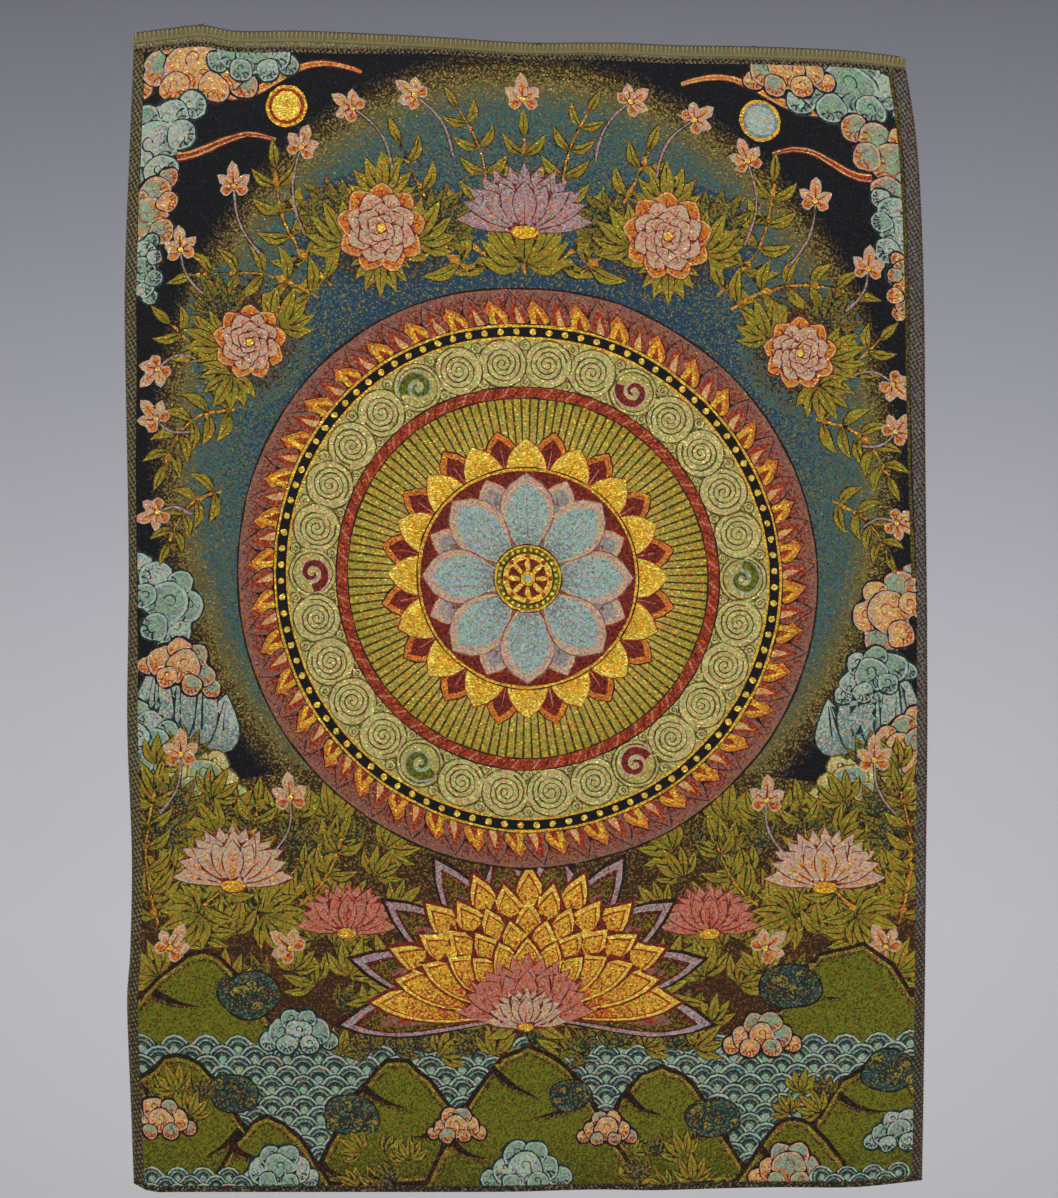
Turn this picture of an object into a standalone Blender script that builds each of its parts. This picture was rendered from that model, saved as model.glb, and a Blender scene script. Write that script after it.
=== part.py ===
"""A brocade hanging without rods, as it hangs from its top edge and is seen face on.

Metres, +Z up. The origin is the middle of the top edge, and the woven face looks along -Y.
Two pieces of cloth: the picture panel, whose hem is turned at its foot, and the heading band,
a narrow tape that meets the panel edge to edge along the top.
"""

import math
from collections import namedtuple

import bmesh
import bpy
from mathutils import Vector

MM = 0.001

# Thickness and height of the cloth's parts.
PANEL_THICK = 1.2 * MM
HEM_THICK = 2.4 * MM
HEM_TALL = 6.0 * MM
HEM_STEP = 1.0 * MM
HEADING_THICK = 1.6 * MM
HEADING_TALL = 8.5 * MM
SEAM_GAP = 0.3 * MM

# The outline as it hangs. Across is measured from the middle of the top edge, to the right.
EdgeAcross = namedtuple("EdgeAcross", "across_mm up_mm")
EdgeDown = namedtuple("EdgeDown", "down_mm out_mm")

# The top edge humps near the left corner and falls away to the right one.
TOP_EDGE = (
    EdgeAcross(-307.7, 7.8),
    EdgeAcross(-283.5, 10.9),
    EdgeAcross(-254.7, 13.7),
    EdgeAcross(-228.9, 9.4),
    EdgeAcross(-178.2, 9.4),
    EdgeAcross(-111.9, 6.6),
    EdgeAcross(-61.2, 3.9),
    EdgeAcross(-22.2, 1.1),
    EdgeAcross(5.9, 0.0),
    EdgeAcross(71.4, 0.0),
    EdgeAcross(110.4, -1.8),
    EdgeAcross(175.1, -2.9),
    EdgeAcross(250.8, -6.2),
    EdgeAcross(294.1, -11.2),
)
# The foot is straight on the left, and dips and lifts towards the right corner.
BOTTOM_EDGE = (
    EdgeAcross(-307.7, -889.5),
    EdgeAcross(-295.2, -895.6),
    EdgeAcross(-275.7, -896.2),
    EdgeAcross(-20.0, -896.0),
    EdgeAcross(55.8, -893.9),
    EdgeAcross(98.7, -894.3),
    EdgeAcross(196.2, -892.6),
    EdgeAcross(250.8, -892.2),
    EdgeAcross(276.5, -890.0),
    EdgeAcross(306.5, -886.5),
)
# Each side edge, as its distance from the middle line.
LEFT_EDGE = (
    EdgeDown(-7.8, 307.7),
    EdgeDown(83.5, 311.1),
    EdgeDown(132.0, 313.2),
    EdgeDown(200.5, 314.7),
    EdgeDown(403.3, 311.6),
    EdgeDown(528.0, 312.8),
    EdgeDown(629.5, 309.3),
    EdgeDown(707.5, 310.4),
    EdgeDown(746.5, 312.7),
    EdgeDown(840.0, 309.5),
    EdgeDown(889.5, 307.7),
)
RIGHT_EDGE = (
    EdgeDown(11.2, 294.1),
    EdgeDown(57.7, 301.2),
    EdgeDown(110.8, 305.4),
    EdgeDown(202.0, 308.5),
    EdgeDown(317.5, 309.5),
    EdgeDown(512.5, 311.2),
    EdgeDown(652.0, 309.8),
    EdgeDown(788.6, 308.1),
    EdgeDown(886.5, 306.5),
)

# The cloth's folds and waves, each a soft swell: its middle, its reach across and down, and how
# far it stands towards the viewer. The first two are the crease across the middle, left by
# folding: a ridge with a trough under it.
Swell = namedtuple("Swell", "across_mm down_mm reach_across_mm reach_down_mm towards_mm")
SWELLS = (
    Swell(-20.0, 449.0, 380.0, 9.0, 1.5),
    Swell(-20.0, 474.0, 380.0, 16.0, -1.0),
    Swell(-60.0, 250.0, 190.0, 150.0, 1.6),
    Swell(170.0, 330.0, 120.0, 180.0, -1.4),
    Swell(-255.0, 90.0, 45.0, 60.0, 1.8),
    Swell(270.0, 120.0, 60.0, 70.0, 1.6),
    Swell(-290.0, 738.0, 50.0, 26.0, 2.2),
    Swell(-150.0, 800.0, 75.0, 150.0, -1.6),
    Swell(30.0, 720.0, 110.0, 90.0, 1.2),
    Swell(95.0, 880.0, 34.0, 70.0, 2.2),
    Swell(165.0, 880.0, 36.0, 80.0, -1.6),
    Swell(290.0, 830.0, 45.0, 110.0, 2.4),
    Swell(290.0, 560.0, 50.0, 70.0, -1.2),
)
# The band is stiff and hangs flat, so the swells fade out towards it.
FLAT_TO_MM = 14.0
FULL_FROM_MM = 75.0

# Steps across and down, with finer rows at the crease.
COLUMNS = 40
ROWS = 38
CREASE_ROWS_MM = (431.0, 440.0, 449.0, 458.0, 467.0, 476.0, 487.0)
LEAST_ROW_MM = 5.0

PANEL_COLOUR = (0.16, 0.15, 0.06, 1.0)
HEADING_COLOUR = (0.42, 0.34, 0.10, 1.0)


def clear_scene():
    for item in list(bpy.data.objects):
        bpy.data.objects.remove(item, do_unlink=True)


def cloth_material(name, colour, roughness, metallic):
    material = bpy.data.materials.new(name)
    material.use_nodes = True
    shader = material.node_tree.nodes["Principled BSDF"]
    shader.inputs["Base Color"].default_value = colour
    shader.inputs["Roughness"].default_value = roughness
    shader.inputs["Metallic"].default_value = metallic
    material.diffuse_color = colour
    return material


def along_table(table, at):
    """The second column where the first is `at`, on a smooth curve through the rows."""
    last = len(table) - 1
    index = 0
    while index < last - 1 and at > table[index + 1][0]:
        index += 1
    start, end = table[index], table[index + 1]
    width = end[0] - start[0]
    t = min(max((at - start[0]) / width, 0.0), 1.0)
    start_slope = slope_at(table, index) * width
    end_slope = slope_at(table, index + 1) * width
    return (
        start[1] * (2 * t**3 - 3 * t**2 + 1)
        + start_slope * (t**3 - 2 * t**2 + t)
        + end[1] * (3 * t**2 - 2 * t**3)
        + end_slope * (t**3 - t**2)
    )


def slope_at(table, index):
    before = table[max(index - 1, 0)]
    after = table[min(index + 1, len(table) - 1)]
    return (after[1] - before[1]) / (after[0] - before[0])


def across_edge(table, share):
    """A point on the top or bottom edge, `share` of the way from left to right, in mm."""
    across = table[0].across_mm + share * (table[-1].across_mm - table[0].across_mm)
    return Vector((across, along_table(table, across)))


def side_edge(table, share, side):
    """A point on a side edge, `share` of the way from its foot to its top, in mm."""
    down = table[-1].down_mm + share * (table[0].down_mm - table[-1].down_mm)
    return Vector((side * along_table(table, down), -down))


def on_cloth(right_share, up_share):
    """Where a share of the cloth's width and height lies, as across and up, in mm."""
    top = across_edge(TOP_EDGE, right_share)
    bottom = across_edge(BOTTOM_EDGE, right_share)
    left = side_edge(LEFT_EDGE, up_share, -1)
    right = side_edge(RIGHT_EDGE, up_share, 1)
    between_edges = bottom.lerp(top, up_share) + left.lerp(right, right_share)
    lower = across_edge(BOTTOM_EDGE, 0.0).lerp(across_edge(BOTTOM_EDGE, 1.0), right_share)
    upper = across_edge(TOP_EDGE, 0.0).lerp(across_edge(TOP_EDGE, 1.0), right_share)
    return between_edges - lower.lerp(upper, up_share)


def stand_towards(across_mm, down_mm):
    """How far the cloth stands towards the viewer at a place, in mm."""
    fade = min(max((down_mm - FLAT_TO_MM) / (FULL_FROM_MM - FLAT_TO_MM), 0.0), 1.0)
    fade = fade * fade * (3 - 2 * fade)
    total = 0.0
    for swell in SWELLS:
        off_across = (across_mm - swell.across_mm) / swell.reach_across_mm
        off_down = (down_mm - swell.down_mm) / swell.reach_down_mm
        total += swell.towards_mm * math.exp(-(off_across**2 + off_down**2) / 2)
    return fade * total


def row_heights():
    """Heights of the panel's rows above its foot, in mm, with the hem's step and the crease."""
    tall = -min(edge.up_mm for edge in BOTTOM_EDGE)
    rows = [tall * row / ROWS for row in range(ROWS + 1)]
    crease = [tall - down for down in CREASE_ROWS_MM]
    hem = [HEM_TALL / MM, (HEM_TALL + HEM_STEP) / MM]
    kept = [row for row in rows if all(abs(row - made) > LEAST_ROW_MM for made in crease + hem)]
    return sorted(kept + crease + hem), tall


def sheet_object(name, rows_of_points, thickness, material, collection):
    """A grid whose face looks along -Y, thickened backwards into one closed cloth."""
    rows, columns = len(rows_of_points), len(rows_of_points[0])
    mesh = bpy.data.meshes.new(name)
    grid = bmesh.new()
    bmesh.ops.create_grid(grid, x_segments=columns - 1, y_segments=rows - 1, size=1.0)
    for vertex in grid.verts:
        column = round((vertex.co.x + 1) / 2 * (columns - 1))
        row = round((vertex.co.y + 1) / 2 * (rows - 1))
        vertex.co = rows_of_points[row][column]
    bmesh.ops.recalc_face_normals(grid, faces=grid.faces)
    if next(iter(grid.faces)).normal.y > 0:
        bmesh.ops.reverse_faces(grid, faces=grid.faces)
    grid.to_mesh(mesh)
    grid.free()
    mesh.materials.append(material)
    sheet = bpy.data.objects.new(name, mesh)
    collection.objects.link(sheet)
    solidify = sheet.modifiers.new("thickness", "SOLIDIFY")
    solidify.thickness = thickness
    solidify.offset = -1.0
    sheet.data.shade_smooth()
    sheet.data.set_sharp_from_angle(angle=math.radians(40))
    return sheet, solidify


def picture_panel(collection):
    heights, tall = row_heights()
    band = (HEADING_TALL + SEAM_GAP) / MM
    rows = []
    for height in heights:
        row = []
        for column in range(COLUMNS + 1):
            share = column / COLUMNS
            place = on_cloth(share, height / tall)
            up = place.y - band * height / tall
            towards = stand_towards(place.x, -up)
            row.append(Vector((place.x * MM, -towards * MM - PANEL_THICK / 2, up * MM)))
        rows.append(row)
    material = cloth_material("brocade", PANEL_COLOUR, 0.6, 0.15)
    panel, solidify = sheet_object("picture_panel", rows, HEM_THICK, material, collection)
    hem = panel.vertex_groups.new(name="hem")
    in_hem = sum(height <= HEM_TALL / MM for height in heights)
    hem.add(list(range(in_hem * (COLUMNS + 1))), 1.0, "REPLACE")
    solidify.vertex_group = hem.name
    solidify.thickness_vertex_group = PANEL_THICK / HEM_THICK
    return panel


def heading_band(collection):
    rows = []
    for below in (HEADING_TALL, 0.0):
        row = []
        for column in range(COLUMNS + 1):
            top = across_edge(TOP_EDGE, column / COLUMNS)
            row.append(Vector((top.x * MM, -HEADING_THICK / 2, top.y * MM - below)))
        rows.append(row)
    material = cloth_material("heading_tape", HEADING_COLOUR, 0.7, 0.0)
    band, _ = sheet_object("heading_band", rows, HEADING_THICK, material, collection)
    return band


def main():
    clear_scene()
    collection = bpy.data.collections.new("brocade_hanging")
    bpy.context.scene.collection.children.link(collection)
    picture_panel(collection)
    heading_band(collection)


main()
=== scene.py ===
"""The looks of a brocade hanging: its woven picture, heading band, stitches and a plain studio.

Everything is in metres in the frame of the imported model: +X to the viewer's right, +Z up, and the
woven face looks along -Y. The picture is drawn flat, in millimetres, as a weaver's cartoon is, and
is then hung: the same edges and swells as the solid's carry it to its place.
"""

import cmath
import math
import random
from collections import namedtuple

import bmesh
import bpy
import numpy as np
from bpy.props import FloatProperty, FloatVectorProperty, PointerProperty
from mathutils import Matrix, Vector
from mathutils.geometry import delaunay_2d_cdt


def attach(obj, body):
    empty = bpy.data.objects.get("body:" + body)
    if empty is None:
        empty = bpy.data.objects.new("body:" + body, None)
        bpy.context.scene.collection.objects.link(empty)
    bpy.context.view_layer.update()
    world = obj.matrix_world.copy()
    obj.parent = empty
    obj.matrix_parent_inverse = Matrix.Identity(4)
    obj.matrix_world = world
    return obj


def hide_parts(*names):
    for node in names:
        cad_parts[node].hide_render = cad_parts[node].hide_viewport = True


bl_info = {
    "name": "Brocade hanging",
    "version": (1, 0, 0),
    "blender": (4, 5, 0),
    "location": "3D View > Sidebar > Brocade",
    "description": "Weaves a picture panel with its heading band and stitches, in a plain studio",
    "category": "Object",
}

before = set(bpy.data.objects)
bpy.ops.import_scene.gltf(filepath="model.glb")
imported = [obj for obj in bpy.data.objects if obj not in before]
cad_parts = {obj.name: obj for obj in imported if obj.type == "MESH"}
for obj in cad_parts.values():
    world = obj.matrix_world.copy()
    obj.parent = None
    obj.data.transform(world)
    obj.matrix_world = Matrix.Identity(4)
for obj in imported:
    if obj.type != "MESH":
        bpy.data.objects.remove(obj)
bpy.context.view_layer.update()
MM = 0.001

# ---- the hanging's form

PANEL_WIDE = 622.0
HALF_WIDE = PANEL_WIDE / 2
PANEL_TALL = 887.4
PANEL_THICK = 1.2
HEM_THICK = 2.4
HEM_TALL = 6.0
HEM_STEP = 1.0
HEADING_TALL = 8.5
HEADING_THICK = 1.6
BAND_AND_SEAM = 8.8


def rows_of(kind, *rows):
    """A table's rows, each as a named tuple of its kind."""
    return tuple(kind(*row) for row in rows)


# The outline as it hangs, from the middle of the top edge, and the cloth's soft folds and waves.
EdgeAcross = namedtuple("EdgeAcross", "across_mm up_mm")
EdgeDown = namedtuple("EdgeDown", "down_mm out_mm")
TOP_EDGE = rows_of(
    EdgeAcross,
    (-307.7, 7.8), (-283.5, 10.9), (-254.7, 13.7), (-228.9, 9.4), (-178.2, 9.4), (-111.9, 6.6),
    (-61.2, 3.9), (-22.2, 1.1), (5.9, 0.0), (71.4, 0.0), (110.4, -1.8), (175.1, -2.9),
    (250.8, -6.2), (294.1, -11.2),
)
BOTTOM_EDGE = rows_of(
    EdgeAcross,
    (-307.7, -889.5), (-295.2, -895.6), (-275.7, -896.2), (-20.0, -896.0), (55.8, -893.9),
    (98.7, -894.3), (196.2, -892.6), (250.8, -892.2), (276.5, -890.0), (306.5, -886.5),
)
LEFT_EDGE = rows_of(
    EdgeDown,
    (-7.8, 307.7), (83.5, 311.1), (132.0, 313.2), (200.5, 314.7), (403.3, 311.6), (528.0, 312.8),
    (629.5, 309.3), (707.5, 310.4), (746.5, 312.7), (840.0, 309.5), (889.5, 307.7),
)
RIGHT_EDGE = rows_of(
    EdgeDown,
    (11.2, 294.1), (57.7, 301.2), (110.8, 305.4), (202.0, 308.5), (317.5, 309.5), (512.5, 311.2),
    (652.0, 309.8), (788.6, 308.1), (886.5, 306.5),
)
Swell = namedtuple("Swell", "across_mm down_mm reach_across_mm reach_down_mm towards_mm")
SWELLS = rows_of(
    Swell,
    (-20.0, 449.0, 380.0, 9.0, 1.5),
    (-20.0, 474.0, 380.0, 16.0, -1.0),
    (-60.0, 250.0, 190.0, 150.0, 1.6),
    (170.0, 330.0, 120.0, 180.0, -1.4),
    (-255.0, 90.0, 45.0, 60.0, 1.8),
    (270.0, 120.0, 60.0, 70.0, 1.6),
    (-290.0, 738.0, 50.0, 26.0, 2.2),
    (-150.0, 800.0, 75.0, 150.0, -1.6),
    (30.0, 720.0, 110.0, 90.0, 1.2),
    (95.0, 880.0, 34.0, 70.0, 2.2),
    (165.0, 880.0, 36.0, 80.0, -1.6),
    (290.0, 830.0, 45.0, 110.0, 2.4),
    (290.0, 560.0, 50.0, 70.0, -1.2),
)
# The band is stiff and hangs flat, so the swells fade out towards it.
FLAT_TO_MM = 14.0
FULL_FROM_MM = 75.0


def along_table(table, at):
    """The second column where the first is `at`, on a smooth curve through the rows."""
    first, second = np.array(table).T
    slopes = np.empty_like(second)
    slopes[1:-1] = (second[2:] - second[:-2]) / (first[2:] - first[:-2])
    slopes[0] = (second[1] - second[0]) / (first[1] - first[0])
    slopes[-1] = (second[-1] - second[-2]) / (first[-1] - first[-2])
    at = np.asarray(at, float)
    row = np.clip(np.searchsorted(first, at) - 1, 0, len(first) - 2)
    width = first[row + 1] - first[row]
    t = np.clip((at - first[row]) / width, 0.0, 1.0)
    return (
        second[row] * (2 * t**3 - 3 * t**2 + 1)
        + slopes[row] * width * (t**3 - 2 * t**2 + t)
        + second[row + 1] * (3 * t**2 - 2 * t**3)
        + slopes[row + 1] * width * (t**3 - t**2)
    )


def across_edge(table, share):
    """Points on the top or bottom edge, `share` of the way from left to right, as (across, up)."""
    across = table[0].across_mm + share * (table[-1].across_mm - table[0].across_mm)
    return np.stack([across, along_table(table, across)], axis=-1)


def side_edge(table, share, side):
    """Points on a side edge, `share` of the way from its foot to its top, as (across, up)."""
    down = table[-1].down_mm + share * (table[0].down_mm - table[-1].down_mm)
    return np.stack([side * along_table(table, down), -down], axis=-1)


def mixed(start, end, share):
    """Points `share` of the way from start to end."""
    return start + (end - start) * np.asarray(share)[..., None]


def hung_flat(across, up):
    """Where points of the flat panel, in mm from its middle line and its foot, hang in mm."""
    rightwards = np.asarray(across, float) / PANEL_WIDE + 0.5
    upwards = np.asarray(up, float) / PANEL_TALL
    ends = np.array([0.0, 1.0])
    edges = [across_edge(table, rightwards) for table in (BOTTOM_EDGE, TOP_EDGE)]
    corners = [mixed(*across_edge(table, ends), rightwards) for table in (BOTTOM_EDGE, TOP_EDGE)]
    sides = side_edge(LEFT_EDGE, upwards, -1), side_edge(RIGHT_EDGE, upwards, 1)
    place = mixed(*edges, upwards) + mixed(*sides, rightwards) - mixed(*corners, upwards)
    place[..., 1] -= BAND_AND_SEAM * upwards
    return place


def stand_towards(place):
    """How far the hung cloth stands towards the viewer at places in mm, in mm."""
    across, down = place[..., 0], -place[..., 1]
    fade = np.clip((down - FLAT_TO_MM) / (FULL_FROM_MM - FLAT_TO_MM), 0.0, 1.0)
    total = np.zeros_like(across)
    for swell in SWELLS:
        off_across = (across - swell.across_mm) / swell.reach_across_mm
        off_down = (down - swell.down_mm) / swell.reach_down_mm
        total += swell.towards_mm * np.exp(-(off_across**2 + off_down**2) / 2)
    return fade * fade * (3 - 2 * fade) * total


def hung(across, up, proud=0.0):
    """Points in metres on the panel's woven face, or `proud` mm in front of it."""
    place = hung_flat(across, up)
    depth = -(stand_towards(place) + PANEL_THICK / 2 + proud)
    return np.stack([place[..., 0], depth, place[..., 1]], axis=-1) * MM


# How far the heading's light seam allowance shows under the band, at flat places across.
Allowance = namedtuple("Allowance", "across below")
ALLOWANCES = rows_of(
    Allowance,
    (-HALF_WIDE, 3.6), (-187.0, 3.9), (-150.0, 3.5), (-113.0, 2.6), (-70.0, 0.2), (50.0, 0.1),
    (90.0, 1.4), (180.0, 1.2), (HALF_WIDE, 0.4),
)


def allowance_below(across):
    """The allowance's depth under the band at flat places along the panel, in mm."""
    return np.interp(across, *np.array(ALLOWANCES).T)


# ---- yarns and dyes

# Yarn colours as a dyer's card gives them, red, green and blue from 0 to 255.
YARNS = {
    "night": (11, 12, 18), "navy": (26, 40, 58), "pitch": (24, 18, 14), "blue": (36, 70, 92),
    "teal": (54, 90, 84), "drab": (104, 94, 54), "fleck": (140, 122, 58), "gold": (214, 160, 44),
    "amber": (176, 112, 34), "straw": (232, 194, 84), "olive": (122, 112, 28), "lime": (152, 142, 42),
    "moss": (78, 78, 20), "bark": (58, 40, 18), "sage": (70, 100, 96), "tape": (146, 136, 92),
    "dun": (116, 106, 70), "hill": (118, 115, 22), "fern": (72, 72, 12), "ice": (168, 188, 178),
    "frost": (174, 192, 174), "steel": (114, 138, 130), "maroon": (124, 40, 28), "wine": (70, 26, 26),
    "brick": (166, 60, 32), "rust": (124, 68, 34), "mauve": (142, 98, 88), "lilac": (180, 146, 146),
    "rose": (202, 118, 90), "blush": (212, 174, 142), "orange": (212, 120, 44),
    "apricot": (224, 176, 106), "cream": (208, 194, 124), "butter": (176, 160, 86),
    "reed": (100, 88, 38), "aqua": (148, 174, 144), "pine": (32, 54, 50), "clay": (126, 115, 82),
    "umber": (52, 43, 28), "heather": (116, 103, 93), "plum": (56, 46, 42),
}

# A dye is two yarns that the loom mixes thread by thread. Its columns: the second yarn's share, the
# share of threads with a metallic glint, a third yarn's strays and their share, and how far the
# mixing is an even twill and not a scatter.
Dye = namedtuple("Dye", "yarn other share glint stray strays twill", defaults=(0.0,))
# A fade runs from one dye to the other, between two points or between two radii about a point.
# Heights count `squash` times in its radii, for a fade that follows an oval.
Fade = namedtuple("Fade", "near far start end around squash", defaults=(None, 1.0))

NIGHT = Dye("night", "pitch", 0.35, 0.02, "navy", 0.10)
PITCH = Dye("pitch", "bark", 0.25, 0.02, "maroon", 0.10)
SKY = Dye("blue", "teal", 0.45, 0.10, "fleck", 0.12)
HAZE = Dye("sage", "teal", 0.50, 0.15, "drab", 0.20)
SKY_RIM = Dye("drab", "teal", 0.45, 0.25, "fleck", 0.24)
DUSK = Dye("bark", "night", 0.45, 0.20, "fleck", 0.26)
GOLD = Dye("gold", "amber", 0.30, 0.60, "straw", 0.12)
OLD_GOLD = Dye("amber", "gold", 0.35, 0.45, "brick", 0.08)
BRIGHT_GOLD = Dye("straw", "gold", 0.45, 0.60, "amber", 0.06)
LEAF = Dye("lime", "moss", 0.40, 0.25, "amber", 0.18)
LEAF_DEEP = Dye("olive", "moss", 0.50, 0.15, "amber", 0.12)
LEAF_LINE = Dye("pitch", "moss", 0.38, 0.04, "rust", 0.20)
THICKET = Dye("bark", "olive", 0.45, 0.20, "rust", 0.20)
BRUSH = Dye("pine", "teal", 0.42, 0.10, "fleck", 0.22)
HILL = Dye("hill", "fern", 0.30, 0.10, "fern", 0.22)
HILL_DEEP = Dye("fern", "moss", 0.35, 0.05, "hill", 0.20)
HILL_EDGE = Dye("lime", "hill", 0.40, 0.25, "rust", 0.30)
ICE = Dye("ice", "frost", 0.35, 0.05, "steel", 0.06)
FROST = Dye("frost", "ice", 0.30, 0.05, "blush", 0.10)
STEEL = Dye("steel", "ice", 0.25, 0.06, "lilac", 0.14)
PINE = Dye("pine", "night", 0.30, 0.03, "teal", 0.16)
MAROON = Dye("maroon", "wine", 0.35, 0.15, "brick", 0.16)
WINE = Dye("wine", "maroon", 0.30, 0.10, "amber", 0.10)
BRICK = Dye("brick", "maroon", 0.35, 0.15, "orange", 0.12)
MAUVE = Dye("mauve", "maroon", 0.28, 0.15, "amber", 0.12)
LILAC = Dye("lilac", "mauve", 0.32, 0.10, "ice", 0.14)
ROSE = Dye("rose", "brick", 0.15, 0.12, "lilac", 0.14)
BLUSH = Dye("blush", "lilac", 0.30, 0.12, "cream", 0.10)
ORANGE = Dye("orange", "brick", 0.25, 0.25, "gold", 0.14)
APRICOT = Dye("apricot", "orange", 0.18, 0.20, "lilac", 0.16)
CREAM = Dye("cream", "butter", 0.32, 0.20, "blush", 0.08)
BUTTER = Dye("butter", "cream", 0.40, 0.20, "lime", 0.12)
REED = Dye("reed", "olive", 0.35, 0.12, "bark", 0.22)
AQUA = Dye("aqua", "frost", 0.25, 0.06, "steel", 0.16)
RAY_FIELD = Dye("butter", "lime", 0.45, 0.35, "gold", 0.26)
RAY_EDGE = Dye("lime", "butter", 0.25, 0.25, "gold", 0.20)
RAY_LINE = Dye("bark", "moss", 0.45, 0.08, "amber", 0.14)
MARGIN_LEFT = Dye("clay", "umber", 0.52, 0.05, "moss", 0.08, 1.0)
MARGIN_RIGHT = Dye("heather", "plum", 0.52, 0.05, "steel", 0.08, 1.0)
FOOT_LEFT = Dye("clay", "umber", 0.66, 0.05, "moss", 0.10, 1.0)
FOOT_RIGHT = Dye("heather", "umber", 0.66, 0.05, "moss", 0.10, 1.0)
MARGIN_STRIP = Dye("bark", "reed", 0.42, 0.10, "olive", 0.14)
EDGE_LEFT = Dye("clay", "umber", 0.58, 0.05, "reed", 0.16, 0.7)
EDGE_RIGHT = Dye("heather", "bark", 0.64, 0.05, "rust", 0.22, 0.7)
HEAD_ROW = Dye("tape", "dun", 0.50, 0.05, "reed", 0.06)
SEAM_ROW = Dye("clay", "pitch", 0.54, 0.08, "rust", 0.08, 0.6)
FOOT_BAND = Dye("umber", "pitch", 0.40, 0.05, "clay", 0.22, 0.5)


def linear(colour):
    """A yarn's colour from 0 to 255 as scene-linear light."""
    share = np.array(colour) / 255
    return np.where(share <= 0.04045, share / 12.92, ((share + 0.055) / 1.055) ** 2.4)


# The columns of a dye row: three yarns' colours and four shares.
YARN, OTHER, STRAY = slice(0, 3), slice(3, 6), slice(6, 9)
SHARE, GLINT, STRAYS, TWILL = 9, 10, 11, 12
COLUMNS = 13
# Where a fade begins and ends a few of the other dye's threads and of its strays still show.
LEAST_SHARE = 0.05
MORE_STRAYS = 0.06


def dye_row(dye):
    """A dye as one row of numbers."""
    yarns = [linear(YARNS[name]) for name in (dye.yarn, dye.other, dye.stray)]
    return np.concatenate([*yarns, [dye.share, dye.glint, dye.strays, dye.twill]])


def fade_rows(fade, points):
    """A fade's row at each point: threads of the near dye give way to the far dye's."""
    if fade.around is None:
        axis = fade.end - fade.start
        share = ((points - fade.start) * axis.conjugate()).real / abs(axis) ** 2
    else:
        off = points - fade.around
        reach = np.hypot(off.real, off.imag * fade.squash)
        share = (reach - fade.start) / (fade.end - fade.start)
    share = np.clip(share, 0.0, 1.0)[:, None]
    near, far = dye_row(fade.near), dye_row(fade.far)
    rows = near * (1 - share) + far * share
    rows[:, YARN], rows[:, OTHER] = near[YARN], far[YARN]
    rows[:, SHARE] = LEAST_SHARE + (1 - 2 * LEAST_SHARE) * share[:, 0]
    rows[:, STRAYS] += MORE_STRAYS
    return rows


# ---- the weaver's cartoon

Shape = namedtuple("Shape", "outline dye side")
# How far the drawing hand slips at each point of an outline, in mm.
UNSTEADY = 0.22
HAND_SEED = 5


class Cartoon:
    """The drawing that the loom follows: outlines in mm, where a later one covers earlier ones."""

    def __init__(self):
        self.shapes = []
        self.side = 1
        self.hand = np.random.default_rng(HAND_SEED)

    def add(self, outline, dye):
        """A shape, its outline a little unsteady where it isn't a plain four-sided one."""
        points = np.array(outline)
        if self.side < 0:
            points = -points.conjugate()
        if len(points) > 4:
            slips = self.hand.normal(0.0, UNSTEADY, (2, len(points)))
            points = points + slips[0] + 1j * slips[1]
        self.shapes.append(Shape(points, dye, self.side))

    def framed(self, outline, line, width, dye):
        """A shape with a line of its own dye around it."""
        self.add(grown(outline, width), line)
        self.add(outline, dye)

    def on_both_sides(self, draw):
        """The same motif on the right of the middle line and then mirrored on its left."""
        draw(self)
        self.side = -1
        draw(self)
        self.side = 1

    def topmost(self, points):
        """The number of the shape that shows at each point."""
        order = np.argsort(points.real)
        points = points[order]
        found = np.zeros(len(points), int)
        for number, shape in enumerate(self.shapes):
            ring = shape.outline
            first, last = np.searchsorted(points.real, (ring.real.min(), ring.real.max()))
            up = points.imag[first:last]
            near = first + np.flatnonzero((up >= ring.imag.min()) & (up <= ring.imag.max()))
            if len(near):
                found[near[inside(ring, points[near])]] = number
        unsorted = np.empty_like(found)
        unsorted[order] = found
        return unsorted

    def looks(self):
        """A number for each shape, the same for shapes that share a dye."""
        numbers = {}
        return np.array([numbers.setdefault(shape.dye, len(numbers)) for shape in self.shapes])

    def rows_at(self, numbers, points):
        """The dye rows at the points, which lie on the shapes so numbered."""
        rows = np.empty((len(points), COLUMNS))
        order = np.argsort(numbers, kind="stable")
        edges = np.searchsorted(numbers[order], np.arange(len(self.shapes) + 1))
        for number, shape in enumerate(self.shapes):
            these = order[edges[number] : edges[number + 1]]
            if not len(these):
                continue
            if isinstance(shape.dye, Fade):
                places = points[these]
                if shape.side < 0:
                    places = -places.conjugate()
                rows[these] = fade_rows(shape.dye, places)
            else:
                rows[these] = dye_row(shape.dye)
        return rows


def inside(ring, points):
    """Which points lie inside a closed outline, by counting the edges that they are left of."""
    start, end = ring, np.roll(ring, -1)
    rise = end.imag - start.imag
    rise = np.where(rise == 0, 1e-12, rise)
    above_start = start.imag[None, :] > points.imag[:, None]
    above_end = end.imag[None, :] > points.imag[:, None]
    at = start.real + (points.imag[:, None] - start.imag) / rise * (end.real - start.real)
    crossings = (above_start != above_end) & (points.real[:, None] < at)
    return crossings.sum(axis=1) % 2 == 1


# Outlines and paths are lists of complex numbers: the real part is across, the imaginary one up.


def turn(degrees):
    return cmath.rect(1.0, math.radians(degrees))


def ways(count, turned=0.0):
    """Directions evenly spread round a point."""
    return [turn(turned + 360 * number / count) for number in range(count)]


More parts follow.
